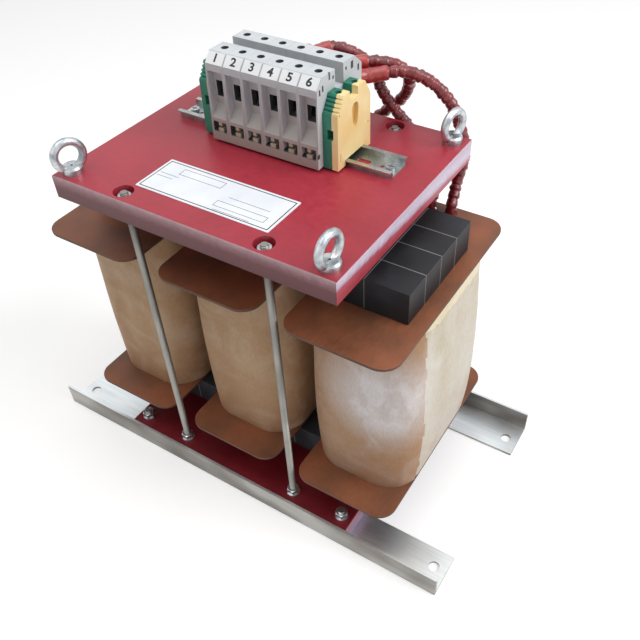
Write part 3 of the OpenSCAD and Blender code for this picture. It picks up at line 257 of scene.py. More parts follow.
# the varnish wiped over the right-hand coil and the painted pool of light on its front: their middle, and how
# far from it each layer fades, all in mm;
# and the heights between which the coils' brown foot fades
varnishAndLightLook = {"middle": (180, -89, 220), "wiped": (30, 85), "paintedLightPool": (28, 80), "blots": (26, 56),
               "blotColour": "#E8E3E5", "footColour": "#A0765A", "foot": (80, 190)}


def fade(layer):
    # the two ends of a layer's fade, for a Map Range node
    start, end = varnishAndLightLook[layer]
    return {1: start * mm, 2: end * mm}


def wrapPaper(name, look):
    # varnished aramid paper: broad tan and cream fields, pale varnish smears, a painted pool of light, soft
    # fibre
    material, tree, shader, place = startMaterial(name, {"Specular IOR Level": 0.3})
    runs = put(tree, "Mapping", {"Vector": place, "Scale": (1, 1, 0.45)})
    blot = put(tree, "TexNoise", {"Vector": runs, "Scale": perMm(95), "Detail": 3.0, "Distortion": 0.4})
    tint = put(tree, "ValToRGB", {0: blot}, look["stops"])
    # the foot of each coil is browner
    axes = put(tree, "SeparateXYZ", {0: place})
    low = put(tree, "MapRange", {0: axes.outputs["Z"], **fade("foot"), 3: look["foot"], 4: 0.0})
    based = put(tree, "Mix", {"Factor": low, 6: tint, 7: linear(varnishAndLightLook["footColour"])}, data_type="RGBA")
    # varnish wiped over the middle of the right-hand coil's front, and faintly elsewhere
    smear = put(tree, "TexNoise", {"Vector": place, "Scale": perMm(46), "Detail": 3.5, "Distortion": 1.3})
    smeared = put(tree, "MapRange", {0: smear, 1: 0.4, 2: 0.66, 3: 0.0, 4: 1.0})
    spread = put(tree, "VectorMath", {0: place, 1: [v * mm for v in varnishAndLightLook["middle"]]},
                 operation="DISTANCE")
    wiped = put(tree, "MapRange", {0: spread, **fade("wiped"), 3: 1.0, 4: look["wipe"]})
    coats = put(tree, "Math", {0: smeared, 1: wiped}, operation="MULTIPLY")
    # a painted pool of light on the right-hand coil's front, palest at its middle, paling the paper like the
    # varnish
    paintedLightPool = put(tree, "MapRange", {0: spread, **fade("paintedLightPool"), 3: 0.8, 4: 0.0})
    both = put(tree, "Math", {0: coats, 1: paintedLightPool}, operation="MAXIMUM")
    pale = put(tree, "Mix", {"Factor": both, 6: based, 7: linear(look["varnish"])}, data_type="RGBA")
    # and whitest where it has run down in blots
    blots = put(tree, "TexNoise", {"Vector": runs, "Scale": perMm(24), "Detail": 3.0, "Distortion": 0.9})
    blotted = put(tree, "MapRange", {0: blots, 1: 0.47, 2: 0.6, 3: 0.0, 4: 0.65})
    near = put(tree, "MapRange", {0: spread, **fade("blots"), 3: 1.0, 4: 0.0})
    ran = put(tree, "Math", {0: blotted, 1: near}, operation="MULTIPLY")
    white = put(tree, "Mix", {"Factor": ran, 6: pale, 7: linear(varnishAndLightLook["blotColour"])}, data_type="RGBA")
    fibre = put(tree, "TexNoise", {"Vector": runs, "Scale": perMm(2.4), "Detail": 4.0})
    fibrous = flecked(tree, white, fibre, [(0.3, "#F4F1ED"), (0.65, "#FFFFFF")])
    rough = put(tree, "MapRange", {0: both, 1: 0.2, 2: 0.8, 3: 0.62, 4: 0.36})
    bump = put(tree, "Bump", {"Height": smear, "Strength": 0.25, "Distance": 1.2 * mm})
    wire(tree, shader, {"Base Color": fibrous, "Roughness": rough, "Normal": bump})
    return material


def warmCopper(name):
    # enamelled copper: orange-brown metal with darker lacquer pools
    material, tree, shader, place = startMaterial(name, {"Metallic": 1.0, "Roughness": 0.35})
    pools = put(tree, "TexNoise", {"Vector": place, "Scale": perMm(9), "Detail": 3.0})
    tint = put(tree, "ValToRGB", {0: pools}, [(0.3, "#9C5A36"), (0.7, "#C9825A")])
    wires = put(tree, "TexWave", {"Vector": place, "Scale": perMm(3) / 6.28, "Distortion": 0.4},
                bands_direction="Z")
    bump = put(tree, "Bump", {"Height": wires.outputs[1], "Strength": 0.4, "Distance": 0.5 * mm})
    wire(tree, shader, {"Base Color": tint, "Normal": bump})
    return material


plateLook = {
    "face": "#B03343", "faceDark": "#A02A39", "gloss": 0.45, "rough": 0.36,
    "halfLength": 160, "halfWidth": 129, "under": 366, "top": 391, "bandTilt": 0.0019,
    # the long edges run from painted shade at the underside to a painted highlight with dust at the top
    "sideStops": [(0.0, "#5A2228"), (0.5, "#6E3037"), (0.74, "#95666D"), (0.97, "#B8959A")],
    # the sawn ends: red below and a pale band above, partly painted light
    "endStops": [(0.0, "#A8323F"), (0.34, "#B4475A"), (0.48, "#C9AFC4"), (0.66, "#D6CADC"), (1.0, "#CDB7CB")],
}
# the base plate is the top plate's laminate, its faces and long edges darkened with painted shade
baseLook = {
    "face": "#7E1B26", "faceDark": "#6B131D", "gloss": 0.35, "rough": 0.42,
    "halfLength": 160, "halfWidth": 129, "under": 3, "top": 28, "bandTilt": 0.0,
    "sideStops": [(0.0, "#5A1A20"), (0.7, "#6A2229"), (0.97, "#8A4F55")],
    "endStops": [(0.0, "#8A7090"), (0.46, "#8F7595"), (0.54, "#A06878"), (1.0, "#A86C7C")],
}
barLook = {
    "face": "#4A1116", "faceDark": "#3A0C10", "gloss": 0.3, "rough": 0.5,
    "halfLength": 130, "halfWidth": 200, "under": 28, "top": 366, "bandTilt": 0.0,
    "sideStops": [(0.0, "#3A0C10"), (1.0, "#4A1116")],
    "endStops": [(0.0, "#4E2A30"), (1.0, "#5A3A40")],
}
finishes = {
    "rail": rolledAluminium("aluminiumAngle"),
    "fastener": zincPlate("zincPlatedSteel", "#D3D6D8", "#9EA4A9", 0.3, 7, 0.2),
    "rod": zincPlate("zincPlatedStud", "#9C9A95", "#84827D", 0.48, 60, 0.1),
    "eyeBolt": zincPlate("forgedZincPlate", "#CDD1D3", "#8E979E", 0.34, 9, 0.45),
    "topRail": zincPlate("zincPlatedStrip", "#C6CBCA", "#8F9796", 0.28, 14, 0.1),
    "clampSteel": zincPlate("clampSteel", "#8B8F93", "#5C6064", 0.4, 6, 0.2),
    "topPlate": redLaminate("redLaminate", plateLook),
    "basePlate": redLaminate("shadedRedLaminate", baseLook),
    "bars": redLaminate("darkLaminateBars", barLook),
    "core": pressedBlock("blackPowderCore"),
    "resin": mouldedNylon("greyJointResin", "#8F9296", "#75787D", 0.5),
    "board": phenolicBoard("brownPressedBoard"),
    "boardEdge": mouldedNylon("sawnBoardEdge", "#5E4030", "#4A3226", 0.6),
    "paper": wrapPaper("varnishedAramidPaper", {
        "stops": [(0.3, "#A8835F"), (0.46, "#B18D6B"), (0.6, "#B79572"), (0.74, "#C0A281")],
        "varnish": "#CDBBA6", "foot": 0.5, "wipe": 0.3}),
    "tanPaper": wrapPaper("tanAramidPaper", {
        "stops": [(0.3, "#A67C58"), (0.46, "#B08966"), (0.6, "#B79472"), (0.74, "#C2A686")],
        "varnish": "#DCD6D6", "foot": 0.8, "wipe": 0.15}),
    # cream paper for the right-hand coil's flank, partly its own colour, partly painted light
    "creamAndLitPaper": wrapPaper("creamAndLitAramidPaper", {
        "stops": [(0.3, "#C6BAA4"), (0.6, "#D3CCBE"), (0.74, "#D8D4C8")], "varnish": "#DEDBD6",
        "foot": 0.35, "wipe": 0.3}),
    "liner": wrapPaper("creamLinerPaper", {
        "stops": [(0.3, "#E2D3B4"), (0.7, "#EFE6D0")], "varnish": "#F4EEE0", "foot": 0.0, "wipe": 0.3}),
    "lead": shrinkSleeve("shrunkRedSleeve", "#8C1D24", "#5E1017", 0.28),
    "sleeve": shrinkSleeve("outerRedSleeve", "#B23735", "#962B2A", 0.32),
    # the last colour is dust and painted shade, with a painted reflection of the red plate, on the housings'
    # fronts
    "housing": mouldedNylon("greyPolyamide", "#D0D5D9", "#C3C8CD", 0.42, "#9A9088"),
    # painted shade for the insides that are seen through holes
    "inside": mouldedNylon("greyPolyamideInsideShade", "#55575A", "#45474A", 0.5),
    "tongue": mouldedNylon("beigeLatchTongue", "#B9AE98", "#A79C88", 0.45),
    "marker": mouldedNylon("whiteMarkerPlastic", "#F2F3F4", "#E6E8EA", 0.4),
    "label": mouldedNylon("whiteLabelFilm", "#F1F4F8", "#E4EAF2", 0.34),
    "ink": mouldedNylon("blackPrintInk", "#23262B", "#17191C", 0.5),
    "green": mouldedNylon("greenPolyamide", "#2F8A72", "#226F5C", 0.4),
    "yellow": mouldedNylon("yellowPolyamide", "#F8E2A8", "#EFD190", 0.42),
    # painted shade for the tear-drop recess in the yellow cover
    "shadedYellowRecess": mouldedNylon("yellowRecessShade", "#D9AE62", "#C99C50", 0.5),
    "copper": warmCopper("enamelledCopper"),
    "stick": mouldedNylon("glassPolyesterStick", "#C9BFA6", "#B3A88C", 0.5),
}
print("materials made:", len(finishes))

cadFinish = {
    "rail": ["front_rail", "rear_rail"],
    "fastener": ["hex_nuts", "flat_washers", "rail_screws", "din_rail_screws"],
    "rod": ["tie_rods"],
    "eyeBolt": ["eye_bolts_front", "eye_bolts_rear"],
    "topRail": ["din_rail"],
    "clampSteel": ["rear_clamps", "pe_rear_clamps", "pe_left_screw", "pe_right_screw", "pe_left_cage",
                   "pe_right_cage", "lead_ferrules"]
                  + [f"clamp_{part}_{i}" for part in ("screw", "cage") for i in range(1, 7)],
    "topPlate": ["top_plate"],
    "basePlate": ["base_plate"],
    "bars": ["support_bars"],
    "core": ["upper_yoke", "lower_yoke", "core_legs"],
    "resin": ["yoke_joints"],
    "board": ["coil_cheeks", "gap_spacers", "coil_formers"],
    "paper": ["coil_1_wrap", "coil_2_wrap", "coil_3_wrap"],
    "lead": ["coil_1_leads", "coil_2_leads", "coil_3_leads"],
    "sleeve": ["lead_sleeves"],
    "housing": [f"terminal_{i}" for i in range(1, 7)],
    "marker": ["terminal_markers"],
    "label": ["nameplate"],
    "green": ["pe_left_body", "pe_right_body"],
    "yellow": ["pe_covers"],
    "copper": ["windings", "current_bars"],
    "stick": ["duct_sticks"],
}


def dress(obj, *keys):
    obj.data.materials.clear()
    for key in keys:
        obj.data.materials.append(finishes[key])


for finish, names in cadFinish.items():
    for name in names:
        dress(nodes[name], finish)
print("frame dressed")


def clearSelection():
    if bpy.context.object and bpy.context.object.mode != "OBJECT":
        bpy.ops.object.mode_set(mode="OBJECT")
    bpy.ops.object.select_all(action="DESELECT")


def activate(obj):
    clearSelection()
    obj.select_set(True)
    bpy.context.view_layer.objects.active = obj


def pick(obj, kind, test):
    # in edit mode, selects the faces, edges or corners that pass a test of their place or normal
    bpy.ops.mesh.select_mode(type=kind)
    bpy.ops.mesh.select_all(action="DESELECT")
    mesh = bmesh.from_edit_mesh(obj.data)
    for item in {"VERT": mesh.verts, "EDGE": mesh.edges, "FACE": mesh.faces}[kind]:
        item.select_set(bool(test(item)))
    bmesh.update_edit_mesh(obj.data)


def settle(obj, name, slotName, *replaced, body="frame"):
    # the finished piece sits at the origin, with its place in its mesh
    activate(obj)
    bpy.ops.object.transform_apply(location=True, rotation=True, scale=True)
    obj.name = name
    obj.data.name = name
    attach(obj, body)
    if replaced:
        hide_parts(*replaced)


def joined(pieces):
    # the pieces become one, in the first piece's object
    activate(pieces[0])
    for piece in pieces[1:]:
        piece.select_set(True)
    if len(pieces) > 1:
        bpy.ops.object.join()
    return pieces[0]


def applyModifiers(obj):
    activate(obj)
    for modifier in list(obj.modifiers):
        bpy.ops.object.modifier_apply(modifier=modifier.name)


def thicken(sheet, thickness):
    wall = sheet.modifiers.new("wall", "SOLIDIFY")
    wall.thickness = thickness * mm
    applyModifiers(sheet)


def addCube(middle, size, turn=(0, 0, 0)):
    clearSelection()
    bpy.ops.mesh.primitive_cube_add(size=1, location=[v * mm for v in middle], rotation=turn,
                                    scale=[v * mm for v in size])
    return bpy.context.object


def carve(obj, cutters):
    # cuts the recesses that the CAD part leaves out
    cutter = joined(cutters)
    cut = obj.modifiers.new("recess", "BOOLEAN")
    cut.operation = "DIFFERENCE"
    cut.solver = "EXACT"
    cut.object = cutter
    applyModifiers(obj)
    bpy.data.objects.remove(cutter)


def mouldedCopy(nodeName, name):
    # a copy of a moulded CAD part with its loose triangles merged
    copy = linked(name, nodes[nodeName].data.copy())
    activate(copy)
    bpy.ops.object.mode_set(mode="EDIT")
    bpy.ops.mesh.select_all(action="SELECT")
    bpy.ops.mesh.remove_doubles(threshold=0.01 * mm)
    bpy.ops.mesh.dissolve_limited(angle_limit=math.radians(1))
    bpy.ops.object.mode_set(mode="OBJECT")
    return copy


def softened(copy, nodeName, slotName, finish, edge, rooms=(), deep="inside"):
    # breaks the hard edges, and paints shade into the rooms that are seen only through holes
    bevel = copy.modifiers.new("edges", "BEVEL")
    bevel.width = edge * mm
    bevel.segments = 2
    bevel.limit_method = "ANGLE"
    bevel.angle_limit = math.radians(35)
    applyModifiers(copy)
    bpy.ops.object.shade_smooth_by_angle(angle=math.radians(40))
    even = copy.modifiers.new("shading", "WEIGHTED_NORMAL")
    even.keep_sharp = True
    applyModifiers(copy)
    dress(copy, finish, *[deep] * bool(rooms))
    # faces in the rooms get the painted shade finish
    for p in copy.data.polygons if rooms else []:
        corners = [copy.data.vertices[v].co / mm for v in p.vertices]
        middle = p.center / mm
        p.material_index = int(any(
            left < middle.x and max(c.x for c in corners) < right
            and front < middle.y < rear and low < middle.z < high
            for left, right, front, rear, low, high in rooms))
    settle(copy, copy.name, slotName, nodeName)


terminalLook = {
    "count": 6, "firstX": -54.5, "pitch": 21, "halfWidth": 10.4, "edge": 0.35,
    # left, right, front, rear, low and high: the latch window, and the rooms painted dark with shade
    "latch": (-7.8, 7.8, -1.5, 5.4, 403, 413.6),
    "clampRoom": (-10, 9, 11, 68.9, 401, 479.8), "latchRoom": (-8, 8, 0.6, 5.6, 402, 414.5),
    # marks on the last housing's open side: front, rear, low, high
    "markDepth": 0.9, "markRoom": (-1, 77, 403, 480),
    "marks": [(6, 8.4, 464.5, 470.5), (11.2, 13.6, 466.5, 472.5), (22.5, 25.2, 473, 481),
              (28.6, 31.2, 471.5, 475), (51, 53.6, 471, 474.5), (60.5, 65, 468.5, 476),
              (72.5, 75.6, 462.5, 469), (-1.5, 3.4, 404, 409.5)],
    # release tongues in the latch window: half width, low, high, with their middle and depth in Y
    "tongues": [(2.1, 409.4, 414), (3.1, 402.6, 406.6)], "tongueY": 3, "tongueDepth": 4.4, "tongueEdge": 0.35,
}


def terminalX(number):
    return terminalLook["firstX"] + terminalLook["pitch"] * (number - 1)


def makeTerminal(look, number):
    copy = mouldedCopy(f"terminal_{number}", f"terminal_{number}_moulding")
    x = terminalX(number)
    left, right, front, rear, low, high = look["latch"]
    boxes = [((x + left, front, low), (x + right, rear, high))]
    rooms = [(x + room[0], x + room[1], *room[2:]) for room in (look["clampRoom"], look["latchRoom"])]
    if number == look["count"]:
        side = x + look["halfWidth"]
        boxes += [((side - look["markDepth"], front, low), (side + 1, rear, high))
                  for front, rear, low, high in look["marks"]]
        # the floors of the side marks get painted shade too
        rooms.append((side - 1, side - 0.1, *look["markRoom"]))
    carve(copy, [addCube([(a + b) / 2 for a, b in zip(*box)], [b - a for a, b in zip(*box)])
                 for box in boxes])
    softened(copy, f"terminal_{number}", "grey_housing", "housing", look["edge"], rooms)


def makeLatches(look):
    # in each window, a release tongue from above and one from below
    tongues = []
    for number in range(1, look["count"] + 1):
        for half, low, high in look["tongues"]:
            tongue = addCube((terminalX(number), look["tongueY"], (low + high) / 2),
                             (2 * half, look["tongueDepth"], high - low))
            bpy.ops.object.transform_apply(location=True, scale=True)
            bpy.ops.object.mode_set(mode="EDIT")
            bpy.ops.mesh.select_all(action="SELECT")
            bpy.ops.mesh.bevel(offset=look["tongueEdge"] * mm, segments=2)
            bpy.ops.object.mode_set(mode="OBJECT")
            tongues.append(tongue)
    latches = joined(tongues)
    dress(latches, "tongue")
    settle(latches, "terminal_latches", "grey_housing")


def makeDrop(look):
    # a tear-drop cutter for the earth cover's face
    clearSelection()
    place = [v * mm for v in look["place"]]
    bpy.ops.mesh.primitive_cylinder_add(vertices=40, radius=look["radius"] * mm, depth=2 * look["depth"] * mm,
                                        location=place, rotation=(0, math.pi / 2, 0))
    drop = bpy.context.object
    bpy.ops.object.transform_apply(location=True, rotation=True)
    bpy.ops.object.mode_set(mode="EDIT")
    pick(drop, "VERT", lambda v: v.co.z < place[2] - 0.5 * mm)
    bpy.ops.transform.resize(value=(1, 1, look["stretch"]), center_override=place)
    bpy.ops.object.mode_set(mode="OBJECT")
    return drop


for number in range(1, terminalLook["count"] + 1):
    makeTerminal(terminalLook, number)
makeLatches(terminalLook)

earthLook = {
    "edge": 0.3,
    # the recess in the cover: a tear-drop with its round head at this place
    "drop": {"place": (77.5, 40.3, 443.6), "radius": 5.6, "depth": 3.6, "stretch": 3.4},
    # the room whose faces get the yellow recess's painted shade
    "dropRoom": (73.5, 77.3, 34, 47, 424, 450),
}
for side in ("left", "right"):
    body = mouldedCopy(f"pe_{side}_body", f"pe_{side}_moulding")
    softened(body, f"pe_{side}_body", "earth_green", "green", earthLook["edge"])
covers = mouldedCopy("pe_covers", "pe_cover_mouldings")
carve(covers, [makeDrop(earthLook["drop"])])
softened(covers, "pe_covers", "earth_yellow", "yellow", earthLook["edge"], [earthLook["dropRoom"]],
         "shadedYellowRecess")

# the cheeks' sawn edges are darker than their faces
cheekLook = {"edge": 0.4}
boards = mouldedCopy("coil_cheeks", "coil_cheek_boards")
softened(boards, "coil_cheeks", "insulating_board", "board", cheekLook["edge"])
dress(boards, "board", "boardEdge")
for p in boards.data.polygons:
    p.material_index = int(abs(p.normal.z) < 0.8)
print("mouldings softened")

# the leads' routes in mm, as in the part's source: the x of each lead's hole in the cheek, from where all
# run down and in alike, and the points from the terminal to that hole
leadDown = [(114, 314), (114, 285), (111.1, 277.9), (104, 275), (92.4, 275)]
leadWays = {
    "lead_1_start": (-173.2, [(-54.5, 80.3, 447.5), (-54.5, 90, 447.5), (-58, 108, 446), (-73, 124, 441),
                              (-97, 132, 433), (-123, 137, 421), (-147, 141, 403), (-165, 142, 380),
                              (-172.5, 137, 352), (-173.2, 124, 328)]),
    "lead_1_finish": (-149.2, [(8.5, 80.3, 447.5), (8.5, 90, 447.5), (7, 105, 443), (-3, 116, 432),
                               (-26, 119, 420), (-64, 120, 410), (-104, 127, 406), (-130, 137, 395),
                               (-145, 141, 374), (-149.2, 136, 347), (-149.2, 123, 326)]),
    "lead_2_start": (-23.2, [(-33.5, 80.3, 447.5), (-33.5, 90, 447.5), (-33.5, 128, 442), (-31, 141, 426),
                             (-28, 145, 400), (-25.5, 141, 370), (-24, 132, 342), (-23.2, 121, 324)]),
    "lead_2_finish": (0.8, [(29.5, 80.3, 447.5), (29.5, 90, 447.5), (36, 102, 452.5), (50, 112, 454),
                            (64, 120, 453), (76, 128, 448.5), (82, 137, 437), (79, 145, 421),
                            (69, 149.5, 404), (51, 149.5, 386), (28, 144, 364), (9, 134, 342),
                            (1.5, 122, 324)]),
    "lead_3_start": (127, [(-12.5, 80.3, 447.5), (-12.5, 90, 447.5), (-9, 105, 453), (3, 119, 456.5),
                           (22, 123, 455), (38, 126, 448), (46, 131, 435), (51, 135, 419), (62, 137, 402),
                           (82, 139, 382), (105, 138.5, 360), (122, 132, 339), (127, 121, 324)]),
    "lead_3_finish": (150.8, [(50.5, 80.3, 447.5), (50.5, 89, 447.5), (59, 100, 446.5), (74, 110, 449),
                              (92, 118, 450), (110, 127, 441.5), (123, 131.5, 430.5), (133.6, 134.5, 417.5),
                              (144, 138, 391.3), (148.2, 139.5, 372.4), (149.2, 138, 355),
                              (147.8, 131, 337), (149.4, 121, 324)]),
}
leadRoutes = {name: way + [(x, y, z) for y, z in leadDown] for name, (x, way) in leadWays.items()}
leadLook = {
    "radius": 6.25, "step": 1.0, "sides": 22, "slack": 0.94,
    # rings where the sleeve has crept together: their gaps, heights and widths, and the crease after each
    "firstRidge": 14.0, "lastRidge": 8, "ridgeGap": (6, 12), "ridge": (0.06, 0.17), "ridgeWidth": (1.1, 2.6),
    "creaseAfter": (2.2, 3.4), "crease": (0.06, 0.15), "creaseWidth": 1.0,
    "dent": 0.6, "dentSize": 0.15, "pucker": 0.32, "puckerSize": 0.4,
}


def smoothRoute(points, step):
    # an even walk along a rounded line through the route's points
    fine, cuts = [], 24
    pts = [Vector(p) for p in points]
    for i in range(len(pts) - 1):
        a, b = pts[max(i - 1, 0)], pts[i]
        c, d = pts[i + 1], pts[min(i + 2, len(pts) - 1)]
        for k in range(cuts):
            t = k / cuts
            fine.append(0.5 * ((2 * b) + (c - a) * t + (2 * a - 5 * b + 4 * c - d) * t * t
                               + (3 * b - a - 3 * c + d) * t ** 3))
    fine.append(pts[-1])
    walk, left = [fine[0]], step
    for a, b in zip(fine, fine[1:]):
        span = (b - a).length
        while span > 0 and left <= span:
            a = a + (b - a) * (left / span)
            span = (b - a).length
            walk.append(a.copy())
            left = step
        left -= span
    if (walk[-1] - fine[-1]).length > step * 0.3:
        walk.append(fine[-1])
    return walk


def tubeAlong(name, walk, look, swellings, finish):
    # a round tube on the walk, thicker or thinner at each of its points
    curve = bpy.data.curves.new(name, "CURVE")
    curve.dimensions = "3D"
    curve.bevel_depth = look["radius"] * mm
    curve.bevel_resolution = look["sides"] // 2 - 2
    curve.use_fill_caps = True
    spline = curve.splines.new("POLY")
    spline.points.add(len(walk) - 1)
    for point, p, swelling in zip(spline.points, walk, swellings):
        point.co = (*(p * mm), 1)
        point.radius = swelling
    activate(linked(name, curve))
    bpy.ops.object.convert(target="MESH")
    tube = bpy.context.object
    tube.data.polygons.foreach_set("use_smooth", [True] * len(tube.data.polygons))
    dress(tube, finish)
    return tube


def makeLead(name, points, look, seed):
    # sleeve shrunk over a stranded lead: uneven rings where it has crept together in the bends
    dice = random.Random(seed)
    walk = smoothRoute(points, look["step"])
    ridges, at = [], look["firstRidge"]
    while at < len(walk) * look["step"] - look["lastRidge"]:
        ridges.append((at, dice.uniform(*look["ridge"]), dice.uniform(*look["ridgeWidth"])))
        ridges.append((at + dice.uniform(*look["creaseAfter"]), -dice.uniform(*look["crease"]),
                       look["creaseWidth"]))
        at += dice.uniform(*look["ridgeGap"])
    swellings = []
    for i in range(len(walk)):
        s = i * look["step"]
        swellings.append(look["slack"] + sum(h * math.exp(-((s - c) / w) ** 2) for c, h, w in ridges))
    tube = tubeAlong(name, walk, look, swellings, "lead")
    # dents and puckers round the tube
    for v in tube.data.vertices:
        p = v.co * 1000
        push = look["dent"] * noise.noise(p * look["dentSize"] + Vector((seed, 0, 0)))
        push += look["pucker"] * noise.noise(p * look["puckerSize"])
        v.co += v.normal * push * mm
    return tube


for coil in (1, 2, 3):
    pair = [makeLead(f"lead{coil}{end}", leadRoutes[f"lead_{coil}_{end}"], leadLook, 10 * coil + k)
            for k, end in enumerate(("start", "finish"))]
    settle(joined(pair), f"coil_{coil}_shrunk_leads", "red_sleeve", f"coil_{coil}_leads")

sleeveLook = {"radius": 7.35, "step": 1.2, "sides": 20, "points": 4, "lips": (0.9, 0.96), "slack": 0.985,
              "wave": 0.018, "waveRate": 0.9, "dent": 0.18, "dentSize": 260}


def makeSleeve(name, points, look, seed):
    # the second, wider sleeve at the terminal, drawn in at both ends
    walk = smoothRoute(points[:look["points"]], look["step"])
    last = len(walk) - 1
    swellings = []
    for i in range(len(walk)):
        lip = min(i, last - i)
        swellings.append((look["lips"][lip] if lip < 2 else look["slack"])
                         + look["wave"] * math.sin(i * look["waveRate"] + seed) * (lip > 2))
    tube = tubeAlong(name, walk, look, swellings, "sleeve")
    for v in tube.data.vertices:
        v.co += v.normal * look["dent"] * noise.noise(v.co * look["dentSize"] + Vector((seed, 3, 1))) * mm
    return tube


sleeves = [makeSleeve(f"sleeve{i}", route, sleeveLook, i) for i, route in enumerate(leadRoutes.values())]
settle(joined(sleeves), "outer_sleeves", "red_sleeve", "lead_sleeves")
print("leads shrunk")

# coil wraps: one long sheet of paper, wound round and lapped over its own start, and a liner under it
wrapLook = {
    "halfX": 61, "halfY": 92, "corner": 40, "swell": 5.5, "lowShare": 0.8, "bottom": 81.2, "top": 304.8,
    "rows": 44, "pointsRound": 190, "inset": 0.6, "paper": 0.9,
    # the lap climbs over its own start in its last steps, by so many sheets
    "lap": 20, "lapSteps": 7, "lapLift": 1.7,
    # heights of the sheet's waves, ripples and folds, and how often they come
    "wave": 0.6, "waveRate": 0.9, "ripple": 0.22, "rippleRate": 2.4, "fold": 0.75, "foldRate": 0.05,
    "sink": 0.45,
    # the slipped edge: where in y it starts and ends, and in x its side, each with its run
    "dipFront": (-66, 34), "dipRear": (88, 24), "dipSide": (30, 20), "dipRag": 0.22,
    "creamFrom": (0.93, -59), "linerInset": 2.0, "linerCorner": 1.4, "linerPoints": 120, "linerRows": 16,
    "linerPaper": 0.8,
    "coils": {
        1: {"x": -150, "seam": (-40, 92), "dip": 0, "seed": 3},
        2: {"x": 0, "seam": (-38, 92), "dip": 0, "seed": 8},
        3: {"x": 150, "seam": (47, -78), "dip": 13, "seed": 14},
    },
}


def upTo(value, start, run):
    # 0 before the start, 1 past the run, a straight rise between them
    return min(max((value - start) / run, 0), 1)


def roundedOutline(halfX, halfY, corner, count):
    # evenly spaced points and outward directions round a rounded rectangle, counterclockwise
    spanX, spanY = halfX - corner, halfY - corner
    legs = []
    for quarter, (wayX, wayY) in enumerate(((0, 1), (-1, 0), (0, -1), (1, 0))):
        start = wayY * halfX - wayX * spanX, -wayX * halfY - wayY * spanY
        legs.append(("line", start, (wayX, wayY), 2 * (spanY if wayY else spanX)))
        middle = (wayX + wayY) * spanX, (wayY - wayX) * spanY
        legs.append(("arc", middle, 90 * quarter, math.pi * corner / 2))
    total = sum(leg[3] for leg in legs)
    outline = []
    for i in range(count):
        s = total * i / count
        for kind, where, way, span in legs:
            if s <= span:
                break
            s -= span
        if kind == "line":
            outline.append((where[0] + way[0] * s, where[1] + way[1] * s, way[1], -way[0]))
        else:
            a = math.radians(way + 90 * s / span)
            outline.append((where[0] + corner * math.cos(a), where[1] + corner * math.sin(a),
                            math.cos(a), math.sin(a)))
    return outline, total


def makeWrap(look, coil):
    one = look["coils"][coil]
    outline, total = roundedOutline(look["halfX"] - look["inset"], look["halfY"] - look["inset"],
                                    look["corner"], look["pointsRound"])
    pitch = total / len(outline)
    first = min(range(len(outline)), key=lambda i: (Vector(outline[i][:2]) - Vector(one["seam"])).length)
    lapped = round(look["lap"] / pitch)
    path = [outline[(first + i) % len(outline)] for i in range(len(outline) + lapped + 1)]
    verts, faces = [], []
    for row in range(look["rows"] + 1):
        share = row / look["rows"]
        widen = look["swell"] * math.sin(math.pi * share ** look["lowShare"])
        soft = math.sin(math.pi * share) ** 0.5
        for k, (x, y, nx, ny) in enumerate(path):
            climb = upTo(k, len(outline) - look["lapSteps"], look["lapSteps"])
            over = climb * look["paper"] * look["lapLift"]
            p = Vector((x * 0.02, y * 0.02, share * 3.2 + one["seed"]))
            push = look["wave"] * noise.noise(p * look["waveRate"])
            push += look["ripple"] * noise.noise(p * look["rippleRate"])
            p = Vector((k * pitch * look["foldRate"], share * 0.6, one["seed"] * 2.0))
            push = (push + look["fold"] * noise.noise(p)) * soft + over - look["sink"]
            # the outer sheet's upper edge has slipped down on the open side of the right-hand coil
            dip = 0
            if one["dip"] and x > 0:
                rear, fade = look["dipRear"]
                run = upTo(y, *look["dipFront"]) * upTo(-y, -rear, fade)
                ragged = 1 + look["dipRag"] * noise.noise(Vector((y * 0.12, 1, 4)))
                dip = one["dip"] * run ** 0.7 * ragged * upTo(x, *look["dipSide"])
            z = look["bottom"] + (look["top"] - dip - look["bottom"]) * share
            grow = 1 + widen / look["halfX"]
            verts.append(((one["x"] + x * grow + nx * push) * mm, (y + ny * push) * mm, z * mm))
    wide = len(path)
    for row in range(look["rows"]):
        for k in range(wide - 1):
            a = row * wide + k
            faces.append((a, a + 1, a + 1 + wide, a + wide))
    mesh = bpy.data.meshes.new(f"wrap{coil}")
    mesh.from_pydata(verts, [], faces)
    sheet = linked(f"wrap{coil}", mesh)
    thicken(sheet, look["paper"])
    bpy.ops.object.shade_smooth_by_angle(angle=math.radians(50))
    dress(sheet, *(["tanPaper", "creamAndLitPaper"] if one["dip"] else ["paper"]))
    # past the lap on the right-hand coil, the right flank is painted cream and lighter: partly the sheet's
    # own cream colour, partly painted light from the right
    if one["dip"]:
        right, front = look["creamFrom"]
        for p in sheet.data.polygons:
            across = (p.center.x / mm - one["x"]) / look["halfX"]
            edge = front + 3 * noise.noise(p.center * 60)
            p.material_index = int(across > right and p.center.y / mm > edge)
    settle(sheet, f"coil_{coil}_paper_wrap", "coil_wrap", f"coil_{coil}_wrap")


